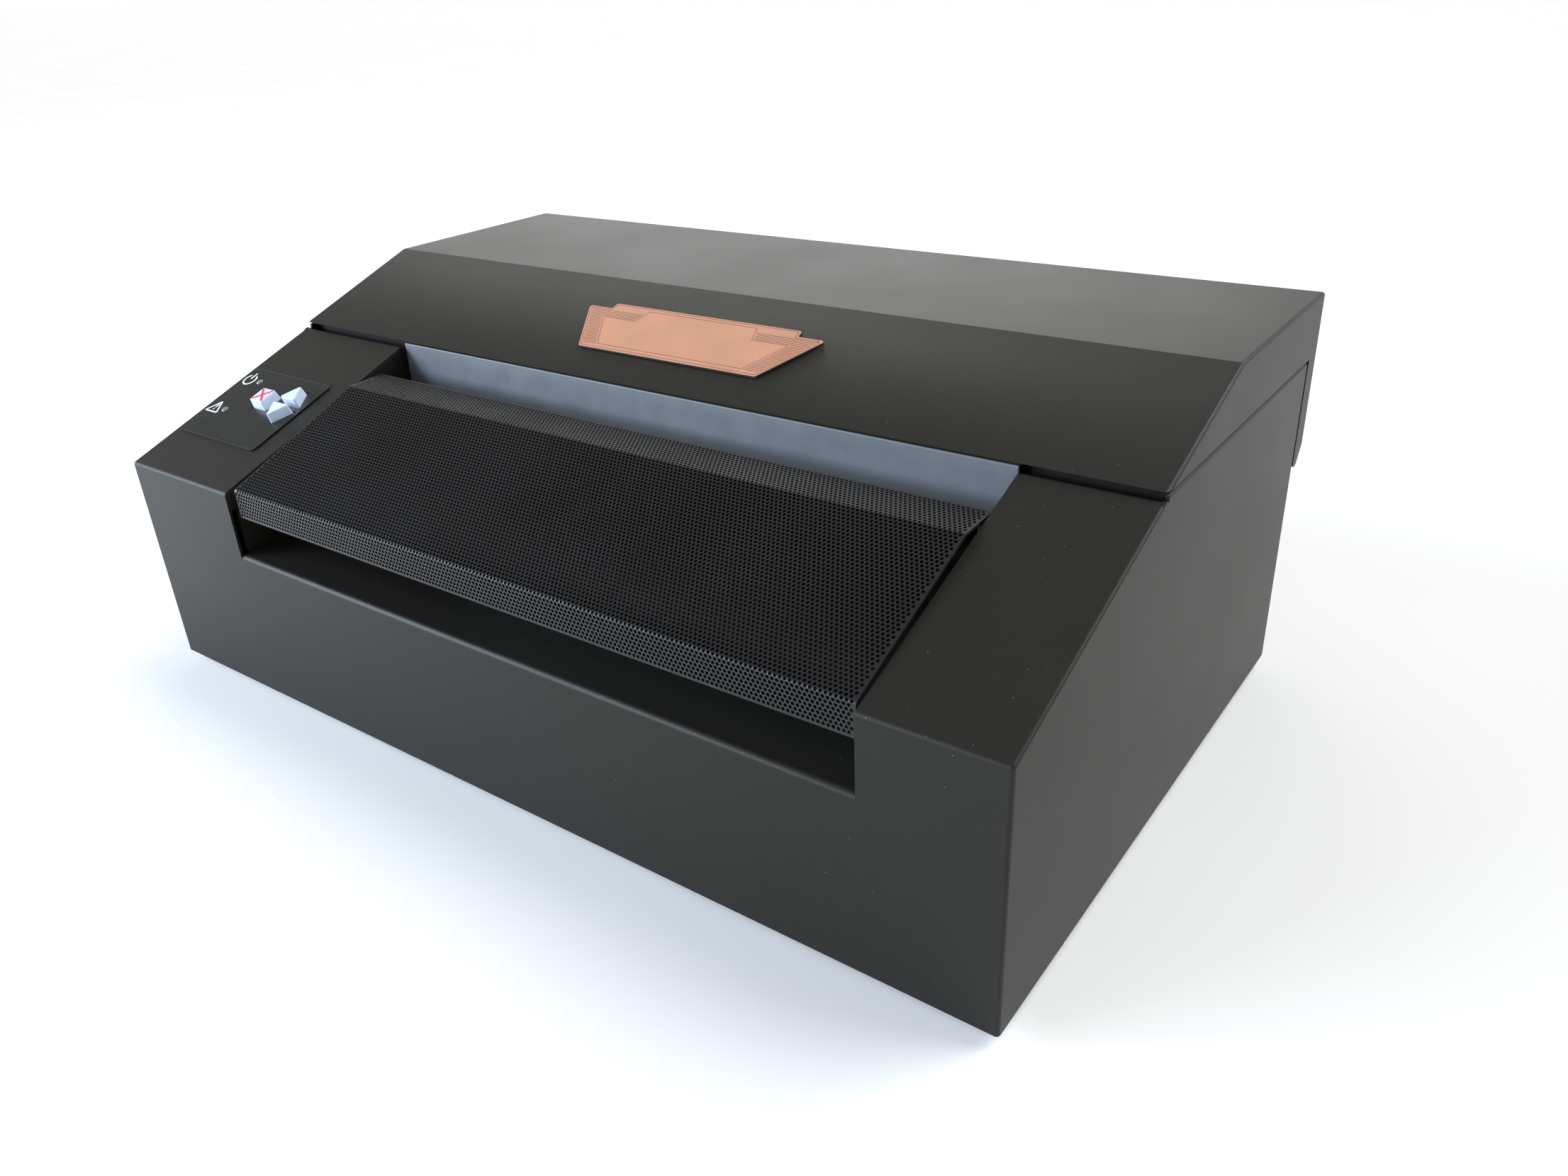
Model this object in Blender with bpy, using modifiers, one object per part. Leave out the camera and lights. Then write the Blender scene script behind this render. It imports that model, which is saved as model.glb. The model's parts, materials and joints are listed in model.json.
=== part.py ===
# Braille embosser: a desktop machine in a folded steel case, with a hinged lid, a hinged
# perforated paper cover, a travelling embossing head and a pin tractor feed.
# Metres, +Z up, -Y is the front, origin under the middle of the case on the surface it stands on.

import math

import bmesh
import bpy
from mathutils import Matrix, Vector

# Clearances and steps shared by all pieces
REST_GAP = 0.0003
RUNNING_GAP = 0.0003
SWING_GAP = 0.0010
CUT_OVERRUN = 0.0050
ROUND_STEPS = 20
FINE_STEPS = 28
SMALL_STEPS = 12
FLAT_ANGLE = math.radians(0.1)
SMOOTH_ANGLE = math.radians(35)

# Case: folded steel sheet, seen from the side
CASE_WIDTH = 0.5700
SHEET = 0.0015
FOLD_RADIUS = 0.0012
FRONT_HEIGHT = 0.1274
SHOULDER_RUN = 0.1284
SHOULDER_RISE = 0.0480
RIM_STEP_RUN = 0.0034
RIM_STEP_RISE = 0.0046
SEAM_GAP = 0.0008
FLAP_STANDOFF = 0.0181
REAR_LEAN = 0.0066
FOOT_HEIGHT = 0.0060
FOOT_RADIUS = 0.0110
FOOT_TAPER = 0.0020
FOOT_INSET = 0.0350

# Case openings
LEFT_SHOULDER = 0.0960
RIGHT_SHOULDER = 0.0645
LEDGE_HEIGHT = 0.0900
LEDGE_RUN = 0.0420
LEDGE_ROUND = 0.0020
RIM_FLANGE = 0.0120
ACCESS_SETBACK = 0.0142
INLET_MARGIN = 0.0700
INLET_HEIGHT = 0.0280
INLET_LIP_DROP = 0.0020
PAN_FLANGE = 0.0150

# Lid: folded sheet with a rear flap that ends in two hinge ears
LID_SETBACK = 0.0045
LID_SLOPE_RUN = 0.0841
LID_SLOPE_RISE = 0.0310
LID_TOP_RUN = 0.1363
LID_TOP_RISE = 0.0017
LID_BACK_RUN = 0.0039
LID_BACK_DROP = 0.0815
HINGE_SETIN = 0.0109
HINGE_DROP = 0.0089
HINGE_EAR_RADIUS = 0.0040
HINGE_PIN_RADIUS = 0.0018
HINGE_PIN_LENGTH = 0.0060
HINGE_BRACKET_SHEET = 0.0020
HINGE_LEAF_WIDTH = 0.0180
HINGE_LEAF_HEIGHT = 0.0240
PANEL_SHEET = 0.0012
PANEL_HEIGHT = 0.0300
PANEL_FLANGE = 0.0220
PANEL_END_GAP = 0.0010

# Badge plate on the lid's slope, a plain winged outline
BADGE_THICKNESS = 0.0014
BADGE_FOOT_HALF = 0.0610
BADGE_WING_HALF = 0.0835
BADGE_CREST_HALF = 0.0645
BADGE_WING_HEIGHT = 0.0360
BADGE_HEIGHT = 0.0410
BADGE_UP_SLOPE = 0.0227
BADGE_ROUND = 0.0020

# Perforated cover over the paper exit
COVER_SHEET = 0.0012
COVER_LEFT_GAP = 0.0050
COVER_RIGHT_GAP = 0.0012
COVER_SETBACK = 0.0033
COVER_LIP = 0.0162
COVER_PROUD = 0.0021
COVER_SLOPE_RUN = 0.0837
COVER_CREST_PROUD = 0.0050
COVER_STRIP_RUN = 0.0234
COVER_STRIP_RISE = 0.0010
COVER_HEM = 0.0080
COVER_PIVOT_SETIN = 0.0064
COVER_PIVOT_DROP = 0.0090
COVER_EAR_RADIUS = 0.0045
COVER_PIN_RADIUS = 0.0018

# Control panel on the left shoulder
OVERLAY_THICKNESS = 0.0006
OVERLAY_WIDTH = 0.0772
OVERLAY_LENGTH = 0.0622
OVERLAY_EDGE = 0.0033
OVERLAY_UP_SLOPE = 0.0328
OVERLAY_ROUND = 0.0025
KEY_GAP = 0.0006
KEY_PROUD = 0.0062
KEY_TRAVEL = 0.0015
KEY_LIP = 0.0010
KEY_LIP_THICKNESS = 0.0012
KEY_STEM_RADIUS = 0.0018
KEY_STEM_LENGTH = 0.0030
KEY_EDGE = 0.0007
KEY_TOP_SHARE = 0.90
SQUARE_KEY_SIZE = 0.0128
SQUARE_KEY_ACROSS = 0.0444
TRIANGLE_KEY_WIDTH = 0.0155
TRIANGLE_KEY_HEIGHT = 0.0132
TRIANGLE_KEY_ACROSS = 0.0660
TRIANGLE_KEY_APART = 0.0037
KEY_ROW_UP = 0.0372
LAMP_RADIUS = 0.0023
LAMP_LENGTH = 0.0090
LAMP_ACROSS = 0.0177
POWER_LAMP_UP = 0.0517
ALERT_LAMP_UP = 0.0237
BOARD_SHEET = 0.0016
KEY_BOARD_MARGIN = 0.0040
SWITCH_SIZE = 0.0060
SWITCH_HEIGHT = 0.0030

# Side frames that carry the mechanism
FRAME_SHEET = 0.0025
FRAME_INSET = 0.0009
FRAME_EDGE = 0.0040
FRAME_HEADROOM = 0.0060
FRAME_WINDOW_MARGIN = 0.0220
FRAME_WINDOW_ROUND = 0.0080

# Paper path
PAPER_DROP = 0.0480
GUIDE_SHEET = 0.0012
GUIDE_END_GAP = 0.0010
RAMP_KNEE_SHARE = 0.62
RAMP_KNEE_RISE_SHARE = 0.42
EMBOSS_SETBACK = 0.0541
ANVIL_HALF = 0.0160
ANVIL_HEIGHT = 0.0140
ANVIL_GROOVE_WIDTH = 0.0080
ANVIL_GROOVE_DEPTH = 0.0025
ANVIL_CHAMFER = 0.0010
TROUGH_DEPTH = 0.0260
TROUGH_RUN = 0.0050

# Embossing head carriage
ROD_RADIUS = 0.0050
ROD_SPREAD = 0.0290
ROD_HEIGHT = 0.0260
CARRIAGE_WIDTH = 0.0560
CARRIAGE_HALF = 0.0390
CARRIAGE_FLOOR = 0.0080
CARRIAGE_HEIGHT = 0.0440
CARRIAGE_NOSE_RUN = 0.0200
CARRIAGE_NOSE_DROP = 0.0140
CARRIAGE_EDGE = 0.0015
CARRIAGE_HOME = 0.0400
HEAD_WIDTH = 0.0440
HEAD_HALF = 0.0100
HEAD_CLEAR = 0.0022
HAMMER_RADIUS = 0.0009
HAMMER_REACH = 0.0010
HAMMER_COUNT = 6
SOLENOID_RADIUS = 0.0060
SOLENOID_HEIGHT = 0.0055
SOLENOID_COUNT = 3
BELT_SETBACK = 0.0460
BELT_WIDTH = 0.0058
BELT_THICKNESS = 0.0014
PULLEY_RADIUS = 0.0080
PULLEY_FLANGE = 0.0025
PULLEY_FLANGE_SHEET = 0.0008
PULLEY_HEIGHT = 0.0360
IDLER_INSET = 0.0169
CLAMP_WIDTH = 0.0200
CLAMP_HALF_HEIGHT = 0.0050
AXLE_RADIUS = 0.0025
MOTOR_SIZE = 0.0420
MOTOR_LENGTH = 0.0380
MOTOR_CORNER = 0.0040
MOTOR_BOSS_RADIUS = 0.0110
MOTOR_BOSS_HEIGHT = 0.0018
MOTOR_PLATE = 0.0020
MOTOR_PLATE_RIM = 0.0040
BELT_MOTOR_OUTSET = 0.0272

# Tractor feed
SHAFT_SQUARE = 0.0080
JOURNAL_RADIUS = 0.0038
SUPPORT_RADIUS = 0.0040
SUPPORT_SETBACK = 0.0650
SHAFT_SPREAD = 0.0380
TRACTOR_DRUM_RADIUS = 0.0092
TRACTOR_BELT_THICKNESS = 0.0010
TRACTOR_BELT_WIDTH = 0.0110
TRACTOR_PLATE = 0.0030
TRACTOR_RIM = 0.0015
TRACTOR_PIN_RADIUS = 0.0018
TRACTOR_PIN_HEIGHT = 0.0026
TRACTOR_PIN_COUNT = 11
TRACTOR_PIN_TIP_SHARE = 0.6
TRACTOR_REACH_IN = 0.0168
SPROCKET_BORE_GAP = 0.0004
DOOR_SHEET = 0.0018
DOOR_BARREL_RADIUS = 0.0018
DOOR_LUG = 0.0035
DOOR_LUG_INSET = 0.0002
DOOR_SLOT_WIDTH = 0.0050
DOOR_PIN_RADIUS = 0.0008
GEAR_MODULE = 0.0015
GEAR_TEETH = 48
PINION_TEETH = 16
GEAR_WIDTH = 0.0040
GEAR_BACKLASH = 0.0007
GEAR_HUB_RADIUS = 0.0075
GEAR_BORE_GAP = 0.0003
GEAR_ADDENDUM_SHARE = 0.85
GEAR_DEDENDUM_SHARE = 1.20
GEAR_PRESSURE = math.radians(20)
GEAR_LEAN = math.radians(236)
GEAR_STANDOFF = 0.0010
FEED_SHAFT_RADIUS = 0.0025

# Electrical pieces
SUPPLY_WIDTH = 0.1400
SUPPLY_DEPTH = 0.1000
SUPPLY_HEIGHT = 0.0450
SUPPLY_INSET = 0.0200
SUPPLY_REAR_GAP = 0.0200
SUPPLY_SLOTS = 8
SUPPLY_SLOT_WIDTH = 0.0030
SUPPLY_SLOT_LENGTH = 0.0600
STANDOFF_HEIGHT = 0.0060
STANDOFF_RADIUS = 0.0030
MAIN_BOARD_WIDTH = 0.1300
MAIN_BOARD_DEPTH = 0.0950
MAIN_BOARD_INSET = 0.0250
CAPACITOR_RADIUS = 0.0060
CAPACITOR_HEIGHT = 0.0180
HEATSINK_WIDTH = 0.0400
HEATSINK_DEPTH = 0.0140
HEATSINK_HEIGHT = 0.0160
FAN_SIZE = 0.0600
FAN_DEPTH = 0.0150
FAN_BORE_RADIUS = 0.0270
FAN_HUB_RADIUS = 0.0110
FAN_BLADE_GAP = 0.0012
FAN_BLADES = 7
FAN_BLADE_THICKNESS = 0.0014
FAN_BLADE_LEAN = math.radians(38)
FAN_INSET = 0.0180
FAN_LIFT = 0.0380
FAN_SLOTS = 6
FAN_SLOT_WIDTH = 0.0045
FAN_SPIDER_WIDTH = 0.0040
FAN_SPIDER_DEPTH = 0.0020
INLET_SOCKET_WIDTH = 0.0270
INLET_SOCKET_HEIGHT = 0.0200
INLET_SOCKET_FLANGE = 0.0035
INLET_FLANGE_SHEET = 0.0020
INLET_BODY_DEPTH = 0.0240
INLET_WALL = 0.0018
INLET_PIN_WIDTH = 0.0020
INLET_PIN_HEIGHT = 0.0040
INLET_PIN_LENGTH = 0.0140
INLET_PIN_SPREAD = 0.0070
INLET_PIN_RAISE = 0.0020
PORT_CENTRE_INSET = 0.0310
INLET_LIFT = 0.0300
SWITCH_LIFT = 0.0600
SOCKET_LIFT = 0.0860
ROCKER_WIDTH = 0.0200
ROCKER_HEIGHT = 0.0130
ROCKER_PROUD = 0.0030
ROCKER_DEPTH = 0.0060
ROCKER_SIDE_GAP = 0.0006
PORT_WIDTH = 0.0120
PORT_HEIGHT = 0.0110
PORT_WALL = 0.0015
PORT_DEPTH = 0.0160

# Places that follow from the sizes above
LID_TIP_DEPTH = SHOULDER_RUN + LID_SETBACK
SEAM_HEIGHT = FRONT_HEIGHT + SHOULDER_RISE + RIM_STEP_RISE
RIM_HEIGHT = SEAM_HEIGHT - SEAM_GAP
LID_FOLD_DEPTH = LID_TIP_DEPTH + LID_SLOPE_RUN
LID_FOLD_HEIGHT = SEAM_HEIGHT + LID_SLOPE_RISE
LID_BACK_DEPTH = LID_FOLD_DEPTH + LID_TOP_RUN
LID_BACK_HEIGHT = LID_FOLD_HEIGHT + LID_TOP_RISE
OVERALL_DEPTH = LID_BACK_DEPTH + LID_BACK_RUN
KNEE_HEIGHT = LID_BACK_HEIGHT - LID_BACK_DROP
REAR_TOP_DEPTH = OVERALL_DEPTH - FLAP_STANDOFF
REAR_BOTTOM_DEPTH = REAR_TOP_DEPTH + REAR_LEAN
HINGE_DEPTH = OVERALL_DEPTH - HINGE_SETIN
HINGE_HEIGHT = KNEE_HEIGHT - HINGE_DROP
HALF_WIDTH = CASE_WIDTH / 2
NOTCH_LEFT = LEFT_SHOULDER - HALF_WIDTH
NOTCH_RIGHT = HALF_WIDTH - RIGHT_SHOULDER
FRAME_LEFT_IN = NOTCH_LEFT - FRAME_INSET
FRAME_LEFT_OUT = FRAME_LEFT_IN - FRAME_SHEET
FRAME_RIGHT_IN = NOTCH_RIGHT + FRAME_INSET
FRAME_RIGHT_OUT = FRAME_RIGHT_IN + FRAME_SHEET
SHOULDER_ANGLE = math.atan2(SHOULDER_RISE, SHOULDER_RUN)
LID_ANGLE = math.atan2(LID_SLOPE_RISE, LID_SLOPE_RUN)
REAR_ANGLE = math.atan2(REAR_LEAN, RIM_HEIGHT)
ACCESS_FRONT = LID_TIP_DEPTH + ACCESS_SETBACK
ACCESS_REAR = REAR_TOP_DEPTH - RIM_FLANGE
PAPER_HEIGHT = SEAM_HEIGHT - PAPER_DROP
EMBOSS_DEPTH = LID_TIP_DEPTH + EMBOSS_SETBACK
ROD_CENTRE_HEIGHT = PAPER_HEIGHT + ROD_HEIGHT
BELT_DEPTH = EMBOSS_DEPTH + BELT_SETBACK
PULLEY_CENTRE_HEIGHT = PAPER_HEIGHT + PULLEY_HEIGHT
IDLER_X = FRAME_LEFT_IN + IDLER_INSET
BELT_MOTOR_X = FRAME_RIGHT_OUT + BELT_MOTOR_OUTSET
SUPPORT_DEPTH = EMBOSS_DEPTH + SUPPORT_SETBACK
DRIVE_DEPTH = SUPPORT_DEPTH + SHAFT_SPREAD
TRACTOR_BELT_OUTER = TRACTOR_DRUM_RADIUS + RUNNING_GAP + TRACTOR_BELT_THICKNESS
SHAFT_HEIGHT = PAPER_HEIGHT - TRACTOR_BELT_OUTER
TRACTOR_PLATE_RADIUS = TRACTOR_BELT_OUTER + TRACTOR_RIM
TROUGH_HEIGHT = PAPER_HEIGHT - TROUGH_DEPTH
GEAR_DISTANCE = GEAR_MODULE * (GEAR_TEETH + PINION_TEETH) / 2
FEED_MOTOR_DEPTH = DRIVE_DEPTH + GEAR_DISTANCE * math.cos(GEAR_LEAN)
FEED_MOTOR_HEIGHT = SHAFT_HEIGHT + GEAR_DISTANCE * math.sin(GEAR_LEAN)
COVER_FOLD_HEIGHT = FRONT_HEIGHT + COVER_PROUD
COVER_CREST_DEPTH = COVER_SETBACK + COVER_SLOPE_RUN
COVER_CREST_HEIGHT = FRONT_HEIGHT + COVER_CREST_DEPTH * SHOULDER_RISE / SHOULDER_RUN + COVER_CREST_PROUD
COVER_REAR_DEPTH = COVER_CREST_DEPTH + COVER_STRIP_RUN
COVER_REAR_HEIGHT = COVER_CREST_HEIGHT + COVER_STRIP_RISE
COVER_LEFT = NOTCH_LEFT + COVER_LEFT_GAP
COVER_RIGHT = NOTCH_RIGHT - COVER_RIGHT_GAP
COVER_PIVOT_DEPTH = COVER_REAR_DEPTH - COVER_PIVOT_SETIN
COVER_PIVOT_HEIGHT = COVER_REAR_HEIGHT - COVER_PIVOT_DROP

# Local frames: each maps (across, along, outward) to the world
CASE = Matrix.Translation((0, -OVERALL_DEPTH / 2, FOOT_HEIGHT))


def frame_at(origin, across, along):
    """A frame inside the case frame with its first two axes given; the third is their cross product."""
    first = Vector(across).normalized()
    second = Vector(along).normalized()
    third = first.cross(second)
    turn = Matrix((first, second, third)).transposed().to_4x4()
    return CASE @ Matrix.Translation(origin) @ turn


SIDE = frame_at((0, 0, 0), (0, 1, 0), (0, 0, 1))
BACKWARD = frame_at((0, 0, 0), (0, 0, 1), (1, 0, 0))
SHOULDER = frame_at((0, 0, FRONT_HEIGHT), (1, 0, 0), (0, SHOULDER_RUN, SHOULDER_RISE))
LID_SLOPE = frame_at((0, LID_TIP_DEPTH, SEAM_HEIGHT), (1, 0, 0), (0, LID_SLOPE_RUN, LID_SLOPE_RISE))
REAR = frame_at((0, REAR_BOTTOM_DEPTH, 0), (-1, 0, 0), (0, -REAR_LEAN, RIM_HEIGHT))

# Colours, roughness and metallic value of each finish
FINISHES = {
    "black_paint": ((0.030, 0.031, 0.030), 0.55, 0.0),
    "black_cover": ((0.020, 0.020, 0.022), 0.50, 0.0),
    "copper": ((0.72, 0.36, 0.24), 0.35, 0.6),
    "overlay_film": ((0.060, 0.068, 0.070), 0.30, 0.0),
    "key_plastic": ((0.50, 0.60, 0.78), 0.40, 0.0),
    "lamp_lens": ((0.22, 0.24, 0.25), 0.30, 0.0),
    "zinc_steel": ((0.55, 0.56, 0.58), 0.40, 0.9),
    "bright_steel": ((0.70, 0.71, 0.73), 0.25, 1.0),
    "black_plastic": ((0.020, 0.020, 0.022), 0.45, 0.0),
    "grey_plastic": ((0.20, 0.21, 0.22), 0.50, 0.0),
    "rubber": ((0.015, 0.015, 0.015), 0.80, 0.0),
    "board_green": ((0.020, 0.120, 0.050), 0.45, 0.0),
    "gear_nylon": ((0.78, 0.76, 0.68), 0.45, 0.0),
    "aluminium": ((0.62, 0.63, 0.65), 0.35, 0.9),
}


def clear_scene():
    for old in list(bpy.data.objects):
        bpy.data.objects.remove(old, do_unlink=True)


clear_scene()
PARTS = bpy.data.collections.new("braille_embosser")
CUTTERS = bpy.data.collections.new("cutters")
bpy.context.scene.collection.children.link(PARTS)
bpy.context.scene.collection.children.link(CUTTERS)


def finish(name):
    """The material of that name, made once."""
    if name in bpy.data.materials:
        return bpy.data.materials[name]
    colour, roughness, metallic = FINISHES[name]
    material = bpy.data.materials.new(name)
    material.use_nodes = True
    shader = material.node_tree.nodes["Principled BSDF"]
    shader.inputs["Base Color"].default_value = (*colour, 1)
    shader.inputs["Roughness"].default_value = roughness
    shader.inputs["Metallic"].default_value = metallic
    return material


# Shape makers. Each returns an object that is not yet in a collection of its own.

def from_bmesh(name, bm, frame, origin=(0, 0, 0)):
    """Turn a bmesh in the frame's own coordinates into an object whose origin is the given point."""
    mesh = bpy.data.meshes.new(name)
    bmesh.ops.recalc_face_normals(bm, faces=bm.faces)
    bm.to_mesh(mesh)
    bm.free()
    mesh.transform(Matrix.Translation(-Vector(origin)))
    shape = bpy.data.objects.new(name, mesh)
    shape.matrix_world = frame @ Matrix.Translation(origin)
    return shape


def box(name, low, high, frame=CASE, origin=(0, 0, 0)):
    low = Vector(low)
    high = Vector(high)
    bm = bmesh.new()
    bmesh.ops.create_cube(bm, size=1)
    bmesh.ops.scale(bm, vec=high - low, verts=bm.verts)
    bmesh.ops.translate(bm, vec=(low + high) / 2, verts=bm.verts)
    return from_bmesh(name, bm, frame, origin)


def rod(name, radius, start, stop, centre, frame=SIDE, origin=(0, 0, 0), steps=ROUND_STEPS, tip=None):
    """A round bar along the frame's third axis, from start to stop, with an optional tip radius."""
    bm = bmesh.new()
    tip_radius = radius if tip is None else tip
    bmesh.ops.create_cone(bm, cap_ends=True, segments=steps, radius1=radius, radius2=tip_radius,
                          depth=stop - start)
    bmesh.ops.translate(bm, vec=(centre[0], centre[1], (start + stop) / 2), verts=bm.verts)
    return smooth(from_bmesh(name, bm, frame, origin))


def smooth(shape):
    shape.data.shade_smooth()
    shape.data.set_sharp_from_angle(angle=SMOOTH_ANGLE)
    return shape


def plate(name, outline, start, stop, frame=SIDE, origin=(0, 0, 0), holes=()):
    """A flat outline with holes, extruded along the frame's third axis from start to stop."""
    curve = bpy.data.curves.new(name + "_outline", "CURVE")
    curve.dimensions = "2D"
    curve.fill_mode = "BOTH"
    curve.extrude = (stop - start) / 2
    for loop in (outline, *holes):
        spline = curve.splines.new("POLY")
        spline.points.add(len(loop) - 1)
        for point, (u, v) in zip(spline.points, loop):
            point.co = (u, v, 0, 1)
        spline.use_cyclic_u = True
    drawn = bpy.data.objects.new(name + "_outline", curve)
    bpy.context.scene.collection.objects.link(drawn)
    bpy.context.view_layer.update()
    mesh = bpy.data.meshes.new_from_object(drawn.evaluated_get(bpy.context.evaluated_depsgraph_get()))
    bpy.data.objects.remove(drawn, do_unlink=True)
    bm = bmesh.new()
    bm.from_mesh(mesh)
    bpy.data.meshes.remove(mesh)
    bmesh.ops.remove_doubles(bm, verts=bm.verts, dist=REST_GAP / 100)
    bmesh.ops.translate(bm, vec=(0, 0, (start + stop) / 2), verts=bm.verts)
    return from_bmesh(name, bm, frame, origin)


def turned(name, profile, frame, centre, steps=ROUND_STEPS):
    """A profile of (radius, height) from top to bottom, spun about the frame's third axis."""
    mesh = bpy.data.meshes.new(name)
    points = [(radius, 0, height) for radius, height in profile]
    mesh.from_pydata(points, [(i, i + 1) for i in range(len(points) - 1)], [])
    shape = bpy.data.objects.new(name, mesh)
    shape.matrix_world = frame @ Matrix.Translation(centre)
    screw = shape.modifiers.new("spin", "SCREW")
    screw.steps = steps
    screw.render_steps = steps
    screw.use_merge_vertices = True
    screw.merge_threshold = REST_GAP / 10
    screw.use_smooth_shade = True
    return shape


# Outline makers, in (across, along) pairs

def arc(centre, radius, start, stop, steps):
    return [(centre[0] + radius * math.cos(start + (stop - start) * i / steps),
             centre[1] + radius * math.sin(start + (stop - start) * i / steps))
            for i in range(steps + 1)]


def circle(centre, radius, steps=ROUND_STEPS):
    return arc(centre, radius, 0, 2 * math.pi, steps)[:-1]


def rectangle(low, high):
    return [(low[0], low[1]), (high[0], low[1]), (high[0], high[1]), (low[0], high[1])]


def stadium(first, second, radius, steps=ROUND_STEPS):
    """Two half circles about two centres on one line along the first axis, joined by straights."""
    right = arc(second, radius, -math.pi / 2, math.pi / 2, steps // 2)
    left = arc(first, radius, math.pi / 2, 3 * math.pi / 2, steps // 2)
    return right + left


def rounded(outline, radius, steps=3):
    """Replace each corner by an arc that is tangent to both sides."""
    result = []
    count = len(outline)
    for i in range(count):
        here = Vector(outline[i])
        back = (Vector(outline[i - 1]) - here).normalized()
        ahead = (Vector(outline[(i + 1) % count]) - here).normalized()
        half = back.angle(ahead) / 2
        reach = radius / math.tan(half)
        first = here + back * reach
        last = here + ahead * reach
        middle = here + (back + ahead).normalized() * (radius / math.sin(half))
        a0 = math.atan2(first.y - middle.y, first.x - middle.x)
        a1 = math.atan2(last.y - middle.y, last.x - middle.x)
        turn = (a1 - a0 + math.pi) % (2 * math.pi) - math.pi
        result += [(middle.x + radius * math.cos(a0 + turn * k / steps),
                    middle.y + radius * math.sin(a0 + turn * k / steps)) for k in range(steps + 1)]
    return result


def meet(line, other):
    """Crossing point of two lines, each given by two points."""
    (p, q), (r, s) = [tuple(Vector(point) for point in pair) for pair in (line, other)]
    d = q - p
    e = s - r
    t = ((r.x - p.x) * e.y - (r.y - p.y) * e.x) / (d.x * e.y - d.y * e.x)
    return (p.x + d.x * t, p.y + d.y * t)


def shifted(start, stop, distance):
    """The line from start to stop, moved to its right by the distance."""
    along = (Vector(stop) - Vector(start)).normalized()
    side = Vector((along.y, -along.x)) * distance
    return (tuple(Vector(start) + side), tuple(Vector(stop) + side))


def folded(path, thickness):
    """The outline of a folded sheet: its left face follows the path, the sheet lies to the right."""
    lines = [shifted(path[i], path[i + 1], thickness) for i in range(len(path) - 1)]
    inner = [lines[0][0]]
    inner += [meet(lines[i], lines[i + 1]) for i in range(len(lines) - 1)]
    inner.append(lines[-1][1])
    return list(path) + inner[::-1]


def gear_outline(teeth, module, phase, centre):
    """An involute gear outline with flanks of four points, thinned by the backlash."""
    pitch = module * teeth / 2
    base = pitch * math.cos(GEAR_PRESSURE)
    tip = pitch + module * GEAR_ADDENDUM_SHARE
    root = pitch - module * GEAR_DEDENDUM_SHARE
    half_pitch = math.pi / (2 * teeth) - GEAR_BACKLASH / (4 * pitch)
    involute = math.tan(GEAR_PRESSURE) - GEAR_PRESSURE
    flank = []
    low = max(root, base)
    for i in range(4):
        radius = low + (tip - low) * i / 3
        roll = math.acos(min(1, base / radius))
        flank.append((radius, half_pitch + involute - (math.tan(roll) - roll)))
    if root < low:
        flank.insert(0, (root, flank[0][1]))
    points = []
    for tooth in range(teeth):
        middle = phase + 2 * math.pi * tooth / teeth
        for radius, half in flank:
            points.append((radius, middle - half))
        for radius, half in reversed(flank):
            points.append((radius, middle + half))
    return [(centre[0] + radius * math.cos(angle), centre[1] + radius * math.sin(angle))
            for radius, angle in points]


# Joining and cutting

def hide_tool(tool):
    CUTTERS.objects.link(tool)
    tool.hide_render = True
    tool.display_type = "WIRE"


def boolean(target, tool, operation):
    hide_tool(tool)
    modifier = target.modifiers.new(operation.lower(), "BOOLEAN")
    modifier.object = tool
    modifier.operation = operation
    modifier.solver = "EXACT"


def cut(target, *tools):
    for tool in tools:
        boolean(target, tool, "DIFFERENCE")


def add(target, *tools):
    for tool in tools:
        boolean(target, tool, "UNION")


def soften(shape, width, segments=2, angle=math.radians(30)):
    bevel = shape.modifiers.new("edge", "BEVEL")
    bevel.width = width
    bevel.segments = segments
    bevel.limit_method = "ANGLE"
    bevel.angle_limit = angle
    return shape


def tidied(shape):
    """Join the flat pieces that the Booleans split a face into."""
    flat = shape.modifiers.new("flat", "DECIMATE")
    flat.decimate_type = "DISSOLVE"
    flat.angle_limit = FLAT_ANGLE
    return shape


def merged(name, shapes, frame):
    """One mesh of several closed shapes that stay clear of each other, for one Boolean."""
    bm = bmesh.new()
    inverse = frame.inverted()
    for shape in shapes:
        mesh = shape.data.copy()
        mesh.transform(inverse @ shape.matrix_world)
        bm.from_mesh(mesh)
        bpy.data.meshes.remove(mesh)
        bpy.data.objects.remove(shape, do_unlink=True)
    return from_bmesh(name, bm, frame)


def piece(shape, finish_name, parent=None):
    """Keep a finished sub-part in the object's collection, with its finish and its parent."""
    PARTS.objects.link(shape)
    shape.data.materials.clear()
    shape.data.materials.append(finish(finish_name))
    if parent is not None:
        place = shape.matrix_world.copy()
        shape.parent = parent
        shape.matrix_parent_inverse = parent.matrix_world.inverted()
        shape.matrix_world = place
    return shape


def pivot(name, point):
    """An empty on a joint's axis, which carries the pieces that move with it."""
    empty = bpy.data.objects.new(name, None)
    empty.matrix_world = CASE @ Matrix.Translation(point)
    PARTS.objects.link(empty)
    return empty


def shoulder_height(depth):
    return FRONT_HEIGHT + depth * SHOULDER_RISE / SHOULDER_RUN


def rear_depth(height):
    """Depth of the rear wall's outer face at a height."""
    return REAR_BOTTOM_DEPTH - REAR_LEAN * height / RIM_HEIGHT


# Key outlines, in the shoulder frame's (across, along)
OVERLAY_LEFT = OVERLAY_EDGE - HALF_WIDTH
KEY_ROW = OVERLAY_UP_SLOPE + KEY_ROW_UP


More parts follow.
